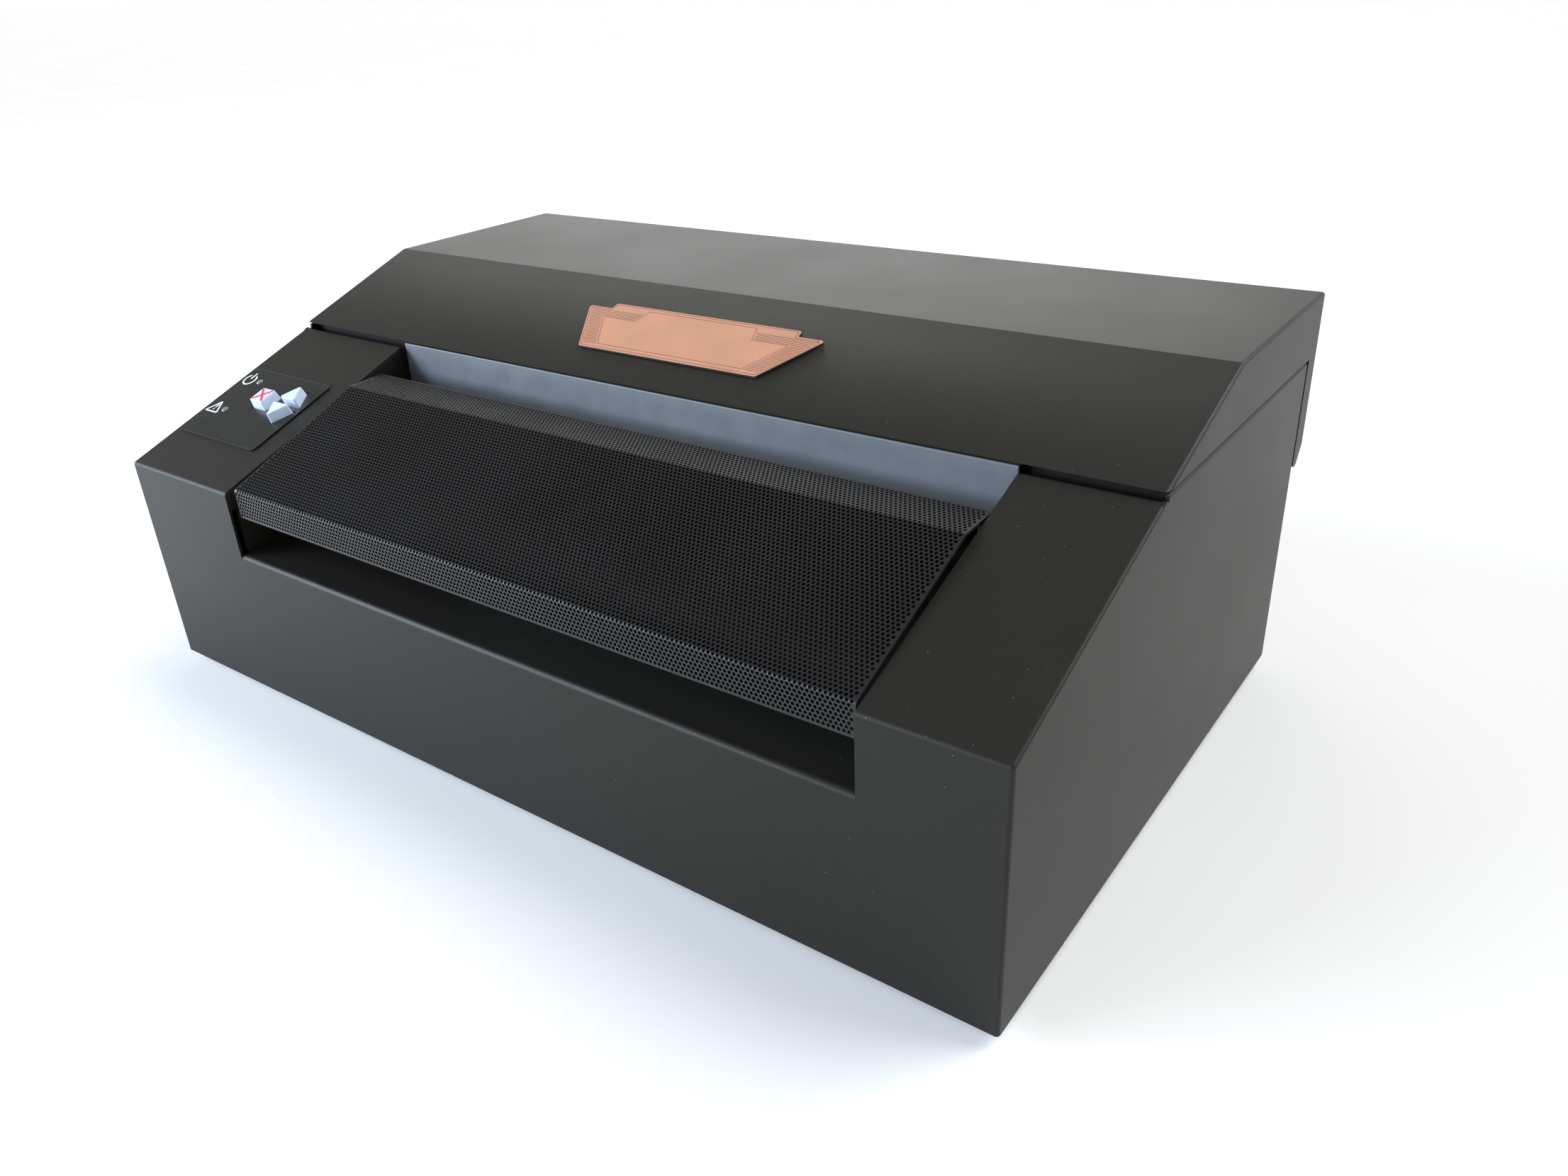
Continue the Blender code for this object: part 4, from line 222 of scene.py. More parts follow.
def surface(name, colour, roughness, metallic=0.0, shade=0.85, patch=14.0, grain=1800.0,
            grain_depth=0.00004, grain_strength=0.25, rough_swing=0.04, specular=0.5, coat=0.0, dust=None):
    """Colour with slow patches and fine grain, roughness that wanders, and a fine bump."""
    material, tree, shader = nodes_of(name)
    dark = tuple(c * shade for c in colour)
    darker = tuple(c * shade * shade for c in colour)
    slow = noise(tree, patch, 2.0)
    fine = noise(tree, grain, 2.0)
    tone = mix_colour(tree, remap(tree, slow.outputs["Fac"], 0, 1), dark, colour)
    tone = mix_colour(tree, remap(tree, fine.outputs["Fac"], 0, 0.35), tone, darker)
    if dust is not None:
        tone = dusty(tree, tone, *dust)
    tree.links.new(tone, shader.inputs["Base Color"])
    swing = remap(tree, slow.outputs["Fac"], roughness - rough_swing, roughness + rough_swing)
    tree.links.new(swing, shader.inputs["Roughness"])
    settle(shader, {"Metallic": metallic, "Specular IOR Level": specular, "Coat Weight": coat,
                    "Coat Roughness": 0.25})
    relief = tree.nodes.new("ShaderNodeBump")
    settle(relief, {"Strength": grain_strength, "Distance": grain_depth})
    tree.links.new(fine.outputs["Fac"], relief.inputs["Height"])
    tree.links.new(relief.outputs["Normal"], shader.inputs["Normal"])
    return material


def dusty(tree, tone, scale, reach, chosen_above):
    """Pale specks of dust in some of the cells of a cell pattern."""
    cells = tree.nodes.new("ShaderNodeTexVoronoi")
    cells.inputs["Scale"].default_value = scale
    tree.links.new(tree.nodes["where"].outputs["Object"], cells.inputs["Vector"])
    speck = remap(tree, cells.outputs["Distance"], 1, 0, reach * 0.6, reach)
    chosen = noise(tree, scale * 0.9, 0.0)
    some = remap(tree, chosen.outputs["Fac"], 0, 1, chosen_above, chosen_above + 0.02)
    both = tree.nodes.new("ShaderNodeMath")
    both.operation = "MULTIPLY"
    tree.links.new(speck, both.inputs[0])
    tree.links.new(some, both.inputs[1])
    return mix_colour(tree, both.outputs[0], tone, (0.42, 0.42, 0.40))


# Each finish: record slot, material name, colour, roughness and what differs from the usual surface.
# The first finish of a slot is the one that CAD pieces in that slot take.
FINISH_TABLE = {
    "paint": ("black_paint", "black_powder_coat", (0.0142, 0.0137, 0.0112), 0.42,
        dict(shade=0.94, rough_swing=0.012, grain=2000, grain_depth=0.00016, grain_strength=0.35,
             dust=(330.0, 0.055, 0.62), specular=0.20)),
    "panel": ("black_paint", "panel_powder_coat", (0.122, 0.140, 0.168), 0.45,
        dict(shade=0.88, patch=60, grain=2000, grain_depth=0.00018, grain_strength=0.55)),
    "cover": ("black_cover", "cover_paint", (0.0072, 0.0072, 0.0082), 0.38,
        dict(shade=0.9, grain=900, specular=0.42)),
    "copper": ("copper", "copper_plate", (0.66, 0.33, 0.215), 0.38,
        dict(metallic=0.35, shade=0.93, patch=40, grain=2600, grain_depth=0.00001)),
    "copper_ink": ("copper", "copper_ink", (0.12, 0.052, 0.036), 0.5, dict(patch=60, grain=2000)),
    "film": ("overlay_film", "panel_film", (0.0080, 0.0110, 0.0095), 0.30,
        dict(shade=0.8, patch=30, grain=2200, grain_depth=0.00001, specular=0.38)),
    "film_edge": ("overlay_film", "film_edge", (0.034, 0.038, 0.038), 0.36, dict(patch=50, grain=900)),
    "key": ("key_plastic", "key_plastic", (0.56, 0.66, 0.84), 0.34,
        dict(shade=0.94, patch=90, grain=1600, grain_depth=0.00001, grain_strength=0.1)),
    "white_ink": ("overlay_film", "white_ink", (0.82, 0.84, 0.86), 0.4,
        dict(shade=0.96, patch=80, grain=2500)),
    "red_ink": ("key_plastic", "red_ink", (0.72, 0.035, 0.075), 0.4,
        dict(shade=0.92, patch=80, grain=2500)),
    "lens": ("lamp_lens", "lamp_lens", (0.16, 0.17, 0.175), 0.22, dict(patch=200, grain=3000, coat=0.5)),
    "zinc": ("zinc_steel", "zinc_sheet", (0.50, 0.51, 0.53), 0.42,
        dict(metallic=0.9, shade=0.82, patch=35, grain=400, grain_depth=0.00002)),
    "steel": ("bright_steel", "bright_steel", (0.62, 0.63, 0.65), 0.26,
        dict(metallic=1.0, shade=0.88, patch=60, grain=1200, grain_depth=0.00001)),
    "black_plastic": ("black_plastic", "black_plastic", (0.018, 0.018, 0.020), 0.46,
        dict(patch=50, grain=1400)),
    "grey_plastic": ("grey_plastic", "grey_plastic", (0.17, 0.175, 0.185), 0.48,
        dict(patch=50, grain=1400)),
    "rubber": ("rubber", "black_rubber", (0.014, 0.014, 0.015), 0.75,
        dict(patch=70, grain=1500, specular=0.3)),
    "board": ("board_green", "circuit_board", (0.018, 0.10, 0.045), 0.42, dict(patch=160, grain=700)),
    "nylon": ("gear_nylon", "gear_nylon", (0.72, 0.69, 0.60), 0.45,
        dict(shade=0.92, patch=60, grain=1300)),
    "aluminium": ("aluminium", "aluminium", (0.58, 0.59, 0.61), 0.36,
        dict(metallic=0.9, shade=0.88, patch=50, grain=900)),
    # Black paint darker than the case's own paint: painted shade for sheets in the gaps under the cover and
    # behind the shoulders.
    "inner_paint": ("black_paint", "inner_paint", (0.0075, 0.0075, 0.0072), 0.6,
        dict(grain=1500, specular=0.2)),
    "brass": ("bright_steel", "contact_metal", (0.70, 0.62, 0.44), 0.3,
        dict(metallic=1.0, patch=200, grain=2000)),
}
SLOTS = {finish: row[0] for finish, row in FINISH_TABLE.items()}
FINISHES = {finish: surface(*row[1:4], **row[4]) for finish, row in FINISH_TABLE.items()}
FINISH_OF_SLOT = {slot: finish for finish, slot in reversed(SLOTS.items())}
# Sheets under the cover that take the darker paint as painted shade.
SHADE_PAINTED_SHEETS = ("exit_ramp",)


# Shape makers

def new_object(name, mesh, matrix=None):
    shape = bpy.data.objects.new(name, mesh)
    bpy.context.scene.collection.objects.link(shape)
    if matrix is not None:
        shape.matrix_world = matrix
    return shape


def from_bmesh(name, bm, matrix=None):
    mesh = bpy.data.meshes.new(name)
    bmesh.ops.recalc_face_normals(bm, faces=bm.faces)
    bm.to_mesh(mesh)
    bm.free()
    return new_object(name, mesh, matrix)


def plate_mesh(outline, start, stop, holes=()):
    """A bmesh of a flat outline with holes, extruded along Z."""
    curve = bpy.data.curves.new("outline", "CURVE")
    curve.dimensions = "2D"
    curve.fill_mode = "BOTH"
    curve.extrude = (stop - start) / 2
    for loop in (outline, *holes):
        spline = curve.splines.new("POLY")
        spline.points.add(len(loop) - 1)
        for point, (u, v) in zip(spline.points, loop):
            point.co = (u, v, 0, 1)
        spline.use_cyclic_u = True
    drawn = bpy.data.objects.new("outline", curve)
    bpy.context.scene.collection.objects.link(drawn)
    bpy.context.view_layer.update()
    mesh = bpy.data.meshes.new_from_object(drawn.evaluated_get(bpy.context.evaluated_depsgraph_get()))
    bpy.data.objects.remove(drawn, do_unlink=True)
    bpy.data.curves.remove(curve)
    bm = bmesh.new()
    bm.from_mesh(mesh)
    bpy.data.meshes.remove(mesh)
    bmesh.ops.remove_doubles(bm, verts=bm.verts, dist=1e-6)
    bmesh.ops.translate(bm, vec=(0, 0, (start + stop) / 2), verts=bm.verts)
    for face in bm.faces:
        face.smooth = False
    return bm


def plate(name, outline, start, stop, matrix, holes=()):
    return from_bmesh(name, plate_mesh(outline, start, stop, holes), matrix)


def box_mesh(low, high):
    low = Vector(low)
    high = Vector(high)
    bm = bmesh.new()
    bmesh.ops.create_cube(bm, size=1)
    bmesh.ops.scale(bm, vec=high - low, verts=bm.verts)
    bmesh.ops.translate(bm, vec=(low + high) / 2, verts=bm.verts)
    return bm


def box_at(centre, half, low, high):
    """A bmesh of a box from its middle and half size across and up, and its two depths."""
    (u, v), (wide, tall) = centre, half
    return box_mesh((u - wide, v - tall, low), (u + wide, v + tall, high))


def box(name, low, high, matrix):
    return from_bmesh(name, box_mesh(low, high), matrix)


def arc(centre, radius, start, stop, steps):
    return [(centre[0] + radius * math.cos(start + (stop - start) * i / steps),
             centre[1] + radius * math.sin(start + (stop - start) * i / steps)) for i in range(steps + 1)]


def circle(centre, radius, steps=32):
    return arc(centre, radius, 0, 2 * math.pi, steps)[:-1]


def rectangle(low, high):
    return [(low[0], low[1]), (high[0], low[1]), (high[0], high[1]), (low[0], high[1])]


def rounded(outline, radius, steps=6):
    result = []
    count = len(outline)
    for i in range(count):
        here = Vector(outline[i])
        back = (Vector(outline[i - 1]) - here).normalized()
        ahead = (Vector(outline[(i + 1) % count]) - here).normalized()
        half = back.angle(ahead) / 2
        reach = radius / math.tan(half)
        first = here + back * reach
        last = here + ahead * reach
        middle = here + (back + ahead).normalized() * (radius / math.sin(half))
        a0 = math.atan2(first.y - middle.y, first.x - middle.x)
        a1 = math.atan2(last.y - middle.y, last.x - middle.x)
        turn = (a1 - a0 + math.pi) % (2 * math.pi) - math.pi
        result += [(middle.x + radius * math.cos(a0 + turn * k / steps),
                    middle.y + radius * math.sin(a0 + turn * k / steps)) for k in range(steps + 1)]
    return result


def loft_mesh(levels):
    """A closed bmesh through loops of one length, each at its own height."""
    bm = bmesh.new()
    rings = [[bm.verts.new((u, v, height)) for u, v in loop] for loop, height in levels]
    for low, high in zip(rings, rings[1:]):
        for i in range(len(low)):
            j = (i + 1) % len(low)
            bm.faces.new((low[i], low[j], high[j], high[i]))
    bm.faces.new(rings[0][::-1])
    bm.faces.new(rings[-1])
    return bm


def turned(name, profile, sides, centre, matrix):
    """A solid of revolution from (radius, height) pairs."""
    levels = [(circle(centre, radius, sides), height) for radius, height in profile]
    return from_bmesh(name, loft_mesh(levels), matrix)


def shifted(start, stop, distance):
    along = (Vector(stop) - Vector(start)).normalized()
    side = Vector((along.y, -along.x)) * distance
    return (tuple(Vector(start) + side), tuple(Vector(stop) + side))


def meet(line, other):
    (p, q), (r, s) = [tuple(Vector(point) for point in pair) for pair in (line, other)]
    d = q - p
    e = s - r
    t = ((r.x - p.x) * e.y - (r.y - p.y) * e.x) / (d.x * e.y - d.y * e.x)
    return (p.x + d.x * t, p.y + d.y * t)


def inset(outline, distance):
    """A closed outline moved inwards by the distance (counter-clockwise loops), outwards if negative."""
    count = len(outline)
    lines = [shifted(outline[i], outline[(i + 1) % count], -distance) for i in range(count)]
    return [meet(lines[i - 1], lines[i]) for i in range(count)]


def apply_modifiers(shape):
    mesh = bpy.data.meshes.new_from_object(shape.evaluated_get(bpy.context.evaluated_depsgraph_get()))
    old = shape.data
    shape.modifiers.clear()
    shape.data = mesh
    bpy.data.meshes.remove(old)
    return shape


def soften(shape, width, segments=3, angle=30, harden=True):
    bevel = shape.modifiers.new("edge", "BEVEL")
    bevel.width = width
    bevel.segments = segments
    bevel.limit_method = "ANGLE"
    bevel.angle_limit = math.radians(angle)
    bevel.harden_normals = harden
    shape.data.shade_smooth()
    return shape


def carve(shape, *tools, operation="DIFFERENCE"):
    """Cut or join with the tools, apply the result and remove the tools."""
    for tool in tools:
        modifier = shape.modifiers.new("carve", "BOOLEAN")
        modifier.object = tool
        modifier.operation = operation
        modifier.solver = "EXACT"
    bpy.context.view_layer.update()
    apply_modifiers(shape)
    for tool in tools:
        bpy.data.objects.remove(tool, do_unlink=True)
    return shape


def even_shading(shape, sharp=32):
    """Smooth folds beside flat faces: sharp edges by angle and normals weighted by area."""
    shape.data.shade_smooth()
    shape.data.set_sharp_from_angle(angle=math.radians(sharp))
    weighted = shape.modifiers.new("even", "WEIGHTED_NORMAL")
    weighted.keep_sharp = True
    weighted.weight = 100
    return shape


def smooth_sides(shape, sharp):
    shape.data.shade_smooth()
    shape.data.set_sharp_from_angle(angle=math.radians(sharp))
    return shape


def dress(shape, finish, body, *replaced):
    """Give a piece its material, its body and the nodes it stands for."""
    shape.data.materials.clear()
    shape.data.materials.append(FINISHES[finish])
    if replaced:
        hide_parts(*replaced)
    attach(shape, body)
    return shape


def joined(name, meshes, matrix):
    """One object of several bmeshes."""
    whole = bmesh.new()
    for bm in meshes:
        mesh = bpy.data.meshes.new("part")
        bm.to_mesh(mesh)
        bm.free()
        whole.from_mesh(mesh)
        bpy.data.meshes.remove(mesh)
    return from_bmesh(name, whole, matrix)


# Case

KEY_ROW = 0.0700
KEY_GAP = 0.0006
SQUARE_ACROSS = -0.2373
SQUARE_WIDE = 0.0128
TRIANGLE_ACROSS = -0.2157
TRIANGLE_WIDE = 0.0155
TRIANGLE_HIGH = 0.0132
TRIANGLE_APART = 0.0037


def square_key(grow=0.0):
    half = SQUARE_WIDE / 2 + grow
    return rectangle((SQUARE_ACROSS - half, KEY_ROW - half), (SQUARE_ACROSS + half, KEY_ROW + half))


def triangle_key(direction, grow=0.0):
    base = KEY_ROW + direction * TRIANGLE_APART / 2
    half = TRIANGLE_WIDE / 2
    corners = [(TRIANGLE_ACROSS - half, base), (TRIANGLE_ACROSS + half, base),
               (TRIANGLE_ACROSS, base + direction * TRIANGLE_HIGH)]
    if direction < 0:
        corners = [corners[1], corners[0], corners[2]]
    return inset(corners, -grow)


KEYS = {
    "cancel": (square_key, "cancel_key"),
    "feed": (lambda grow=0.0: triangle_key(1, grow), "feed_key"),
    "pause": (lambda grow=0.0: triangle_key(-1, grow), "pause_key"),
}
LAMPS = {"power": (-0.2640, 0.0845), "alert": (-0.2640, 0.0565)}


def control_holes(low, high):
    meshes = [plate_mesh(outline_of(KEY_GAP), low, high) for outline_of, _ in KEYS.values()]
    meshes += [plate_mesh(circle(centre, LAMP_RADIUS + LAMP_GAP, LAMP_SIDES), low, high)
               for centre in LAMPS.values()]
    return joined("control_holes", meshes, SHOULDER)


PORT_ACROSS = -0.2540
INLET_LIFT = 0.0300
SWITCH_LIFT = 0.0600
SOCKET_LIFT = 0.0860
FAN_CENTRE = (0.2370, 0.0680)
FAN_RADIUS = 0.0270
FAN_SLOTS = 6
FAN_SLOT_HALF = 0.00225
# Lift, and half size across and up
PORT_HOLES = ((INLET_LIFT, (0.0138, 0.0103)), (SWITCH_LIFT, (0.0106, 0.0068)),
              (SOCKET_LIFT, (0.0063, 0.0058)))
OVERRUN = 0.0050


def rear_holes():
    holes = [((PORT_ACROSS, lift), half) for lift, half in PORT_HOLES]
    for i in range(FAN_SLOTS):
        middle = (i + 0.5) * 2 * FAN_RADIUS / FAN_SLOTS - FAN_RADIUS
        half = math.sqrt(FAN_RADIUS ** 2 - middle ** 2)
        holes.append(((FAN_CENTRE[0], FAN_CENTRE[1] + middle), (half, FAN_SLOT_HALF)))
    return joined("rear_holes", [box_at(*hole, -SHEET - OVERRUN, OVERRUN) for hole in holes], REAR)


def make_case():
    floor = ((0, -OVERRUN), (0.5, -OVERRUN))
    outline = [(0, 0), SHOULDER_FRONT, SHOULDER_REAR, RIM_FRONT, RIM_REAR, FOOT_REAR]
    block = [(0, -OVERRUN)] + outline[1:5] + [meet(outline[4:6], floor)]
    case = plate("case_shell", block, -HALF_WIDTH, HALF_WIDTH, SIDE)
    soften(case, FOLD_RADIUS, FOLD_STEPS, harden=False)
    bpy.context.view_layer.update()
    apply_modifiers(case)
    walls = [shifted(outline[i], outline[i + 1], SHEET) for i in range(5)]
    corners = [meet(walls[i], walls[i + 1]) for i in range(4)]
    inside = [meet(walls[0], floor)] + corners + [meet(walls[4], floor)]
    below = box("below", (-1, -1, -1), (1, 1, 0), CASE)
    hollow = plate("hollow", inside, -HALF_WIDTH + SHEET, HALF_WIDTH - SHEET, SIDE)
    carve(case, below, hollow)
    ledge = box("ledge", (NOTCH_LEFT, SHEET / 2, LEDGE_HEIGHT - SHEET),
                (NOTCH_RIGHT, LEDGE_RUN, LEDGE_HEIGHT), CASE)
    carve(case, ledge, operation="UNION")
    edge = arc((LEDGE_ROUND, LEDGE_HEIGHT - LEDGE_ROUND), LEDGE_ROUND, math.pi, math.pi / 2, 6)
    notch = [(-OVERRUN, CUT_TOP), (-OVERRUN, LEDGE_HEIGHT - LEDGE_ROUND)] + edge
    notch += [(ACCESS_FRONT + OVERRUN, LEDGE_HEIGHT), (ACCESS_FRONT + OVERRUN, CUT_TOP)]
    carve(case, plate("notch", notch, NOTCH_LEFT, NOTCH_RIGHT, SIDE))
    access = box("access", (-HALF_WIDTH + RIM_FLANGE, ACCESS_FRONT, RIM_FRONT[1] - SHEET - OVERRUN),
                 (HALF_WIDTH - RIM_FLANGE, RIM_REAR[0] - RIM_FLANGE, CUT_TOP), CASE)
    inlet = box("inlet", (-INLET_HALF, RIM_REAR[0] - RIM_FLANGE, INLET_LOW),
                (INLET_HALF, 0.4, INLET_HIGH), CASE)
    carve(case, access, inlet, rear_holes(), control_holes(-SHEET - OVERRUN, OVERRUN))
    start = SHOULDER_REAR[0] - 0.0002
    knee = GUTTER_FRONT + 0.0014
    nick = [(start, slope_height(start)), (knee, slope_height(knee)),
            (GUTTER_NICK, slope_height(GUTTER_FRONT) - 0.0006), (GUTTER_NICK, CUT_TOP), (start, CUT_TOP)]
    nick = plate("nick", [(u, v + 0.00002) for u, v in nick], -1, 1, SIDE)
    gutter = box("gutter", (-HALF_WIDTH + GUTTER_SIDE, GUTTER_FRONT, GUTTER_FLOOR),
                 (HALF_WIDTH - GUTTER_SIDE, GUTTER_REAR, CUT_TOP), CASE)
    carve(case, nick, gutter)
    even_shading(case)
    dress(case, "paint", "chassis", "case_body")
    for word, low, high, wall in (("left", -HALF_WIDTH + GUTTER_SIDE, NOTCH_LEFT, NOTCH_LEFT - SHEET),
                                  ("right", NOTCH_RIGHT, HALF_WIDTH - GUTTER_SIDE, NOTCH_RIGHT)):
        make_shoulder_end(word, low, high, wall)


def slope_height(depth):
    """The shoulder's height at a depth behind the front face."""
    rise = (SHOULDER_REAR[1] - SHOULDER_FRONT[1]) / (SHOULDER_REAR[0] - SHOULDER_FRONT[0])
    return SHOULDER_FRONT[1] + depth * rise


def make_shoulder_end(word, low, high, wall):
    """Behind a shoulder: a rounded edge with a drop, a channel up to the rim and a flange."""
    run = SHOULDER_REAR[0] - SHOULDER_FRONT[0]
    rise = Vector((run, SHOULDER_REAR[1] - SHOULDER_FRONT[1])).normalized()
    out = Vector((-rise.y, rise.x))
    centre = Vector((GUTTER_FRONT, slope_height(GUTTER_FRONT))) - out * GUTTER_ROUND
    outer = arc(centre, GUTTER_ROUND, math.atan2(out.y, out.x), 0, 8)
    inner = arc(centre, GUTTER_ROUND - SHEET, 0, math.atan2(out.y, out.x), 8)
    drop = centre.x + GUTTER_ROUND
    nose = outer + [(drop, GUTTER_FLOOR), (drop - SHEET, GUTTER_FLOOR)] + inner
    dress(even_shading(plate("shoulder_edge_" + word, nose, low, high, SIDE), 25), "paint", "chassis")
    path = [(drop - SHEET, GUTTER_FLOOR), (GUTTER_REAR, GUTTER_FLOOR), (GUTTER_REAR, RIM_FRONT[1]),
            (GUTTER_REAR + SHEET, RIM_FRONT[1]), (GUTTER_REAR + SHEET, GUTTER_FLOOR - SHEET),
            (drop - SHEET, GUTTER_FLOOR - SHEET)]
    channel = plate("shoulder_channel_" + word, path, low, high, SIDE)
    # The channel takes the darker black paint as painted shade in the gap behind the shoulder.
    dress(soften(channel, THIN_EDGE, 2), "inner_paint", "chassis")
    first = SHEET + 0.0002
    last = drop - SHEET - 0.0002
    sunk = SHEET * 1.08
    flange = [(first, slope_height(first) - sunk - FLANGE_DEPTH),
              (last, slope_height(last) - sunk - FLANGE_DEPTH),
              (last, slope_height(last) - sunk - GUTTER_ROUND),
              (GUTTER_FRONT, slope_height(GUTTER_FRONT) - sunk), (first, slope_height(first) - sunk)]
    flange = plate("shoulder_flange_" + word, flange, wall, wall + SHEET, SIDE)
    # The flange takes the darker black paint as painted shade.
    dress(soften(flange, THIN_EDGE, 2), "inner_paint", "chassis")


# Lid

def make_lid():
    rear_at_seam = FOOT_REAR[0] + (RIM_REAR[0] - FOOT_REAR[0]) * SEAM_HEIGHT / RIM_REAR[1]
    reach = math.hypot(LID_KNEE[0] - HINGE[0], LID_KNEE[1] - HINGE[1])
    facing = math.atan2(LID_KNEE[1] - HINGE[1], LID_KNEE[0] - HINGE[0])
    tangent = facing - math.acos(HINGE_EAR_RADIUS / reach)
    ear = arc(HINGE, HINGE_EAR_RADIUS, tangent, -math.pi, 14)
    low = HINGE[1] - HINGE_EAR_RADIUS - OVERRUN
    below = ((0, low), (1, low))
    far = LID_KNEE[0] + OVERRUN
    nose = meet((LID_TIP, LID_FOLD), below)
    block = [nose, LID_FOLD, LID_BACK, meet((LID_BACK, LID_KNEE), below)]
    lid = plate("lid_cover", block, -HALF_WIDTH, HALF_WIDTH, SIDE)
    soften(lid, FOLD_RADIUS, FOLD_STEPS, harden=False)
    bpy.context.view_layer.update()
    apply_modifiers(lid)
    edge = meet((ear[0], LID_KNEE), ((far, 0), (far, 1)))
    under = [(nose[0] - OVERRUN, low - OVERRUN), (far, low - OVERRUN), edge] + ear
    under += [(rear_at_seam + SKIRT_REAR_GAP, SEAM_HEIGHT), (nose[0] - OVERRUN, SEAM_HEIGHT)]
    outline = [LID_TIP, LID_FOLD, LID_BACK, LID_KNEE]
    walls = [shifted(outline[i], outline[i + 1], SHEET) for i in range(3)]
    flap_end = LID_KNEE[1] + 0.0012
    inside = [meet(walls[0], below), meet(walls[0], walls[1]), meet(walls[1], walls[2]),
              meet(walls[2], ((0, flap_end), (1, flap_end))), (far, flap_end), (far, low)]
    hollow = plate("hollow", inside, -HALF_WIDTH + SHEET, HALF_WIDTH - SHEET, SIDE)
    carve(lid, plate("under", under, -1, 1, SIDE), hollow)
    even_shading(lid)
    dress(lid, "paint", "lid", "lid_shell")


PANEL_FACE = 0.1335
PANEL_SHEET = 0.0012
PANEL_FOOT = 0.1483
PANEL_TURN = 0.0080
PANEL_TAB = 0.0220
STRIP_RUN = 0.0030


def make_panel():
    """The lid's front panel: a sheet that hangs behind the cover, with a rounded foot turned inwards."""
    top = LID_TIP[1] + (PANEL_FACE - LID_TIP[0]) * (LID_FOLD[1] - LID_TIP[1]) / (LID_FOLD[0] - LID_TIP[0])
    under = shifted(LID_TIP, LID_FOLD, SHEET + 0.0003)
    corner = meet(under, ((PANEL_FACE, 0), (PANEL_FACE, top)))
    along = (Vector(under[1]) - Vector(under[0])).normalized() * PANEL_TAB
    path = [(PANEL_FACE + PANEL_TURN, PANEL_FOOT), (PANEL_FACE, PANEL_FOOT), corner,
            (corner[0] + along.x, corner[1] + along.y)]
    lines = [shifted(path[i], path[i + 1], PANEL_SHEET) for i in range(3)]
    inner = [lines[0][0]] + [meet(lines[i], lines[i + 1]) for i in range(2)] + [lines[2][1]]
    panel = plate("lid_panel", path + inner[::-1], NOTCH_LEFT + 0.001, NOTCH_RIGHT - 0.001, SIDE)
    soften(panel, 0.0005, 3, 25)
    dress(panel, "panel", "lid", "lid_front_panel")
    slope = (Vector(LID_FOLD) - Vector(LID_TIP)).normalized()
    tip = Vector(LID_TIP) + slope * 0.0001
    down = Vector((slope.y, -slope.x))
    back = slope * STRIP_RUN
    foot = tip + down * SHEET
    edge = [tuple(p) for p in (tip, foot, foot + back, tip + down * 0.0002 + back)]
    strip = plate("lid_front_edge", edge, NOTCH_LEFT + 0.0005, NOTCH_RIGHT - 0.0005, SIDE)
    dress(soften(strip, 0.0002, 2), "paint", "lid")


# Perforated cover

def cover_spans():
    points = [Vector(p) for p in COVER_PROFILE]
    return points, [(points[i + 1] - points[i]).length for i in range(3)]


def cover_point(travel, depth):
    """A point of the folded cover from its place along the unrolled sheet and its depth below the face."""
    points, lengths = cover_spans()
    left = travel
    for i in range(3):
        if left <= lengths[i] or i == 2:
            break
        left -= lengths[i]
    directions = [(points[k + 1] - points[k]).normalized() for k in range(3)]
    here = points[i] + directions[i] * left
    normal = Vector((-directions[i].y, directions[i].x))
    for joint in (1, 2):
        start = sum(lengths[:joint])
        before, after = directions[joint - 1], directions[joint]
        turn = before.angle(after)
        cut = COVER_BEND * math.tan(turn / 2)
        if abs(travel - start) < cut:
            share = (travel - start + cut) / (2 * cut)
            n0 = Vector((-before.y, before.x))
            n1 = Vector((-after.y, after.x))
            first = points[joint] - before * cut
            centre = first - n0 * COVER_BEND
            angle0 = math.atan2(n0.y, n0.x)
            angle1 = math.atan2(n1.y, n1.x)
            angle = angle0 + (angle1 - angle0) * share
            normal = Vector((math.cos(angle), math.sin(angle)))
            here = centre + normal * COVER_BEND
    here = here - normal * depth
    return here.x, here.y


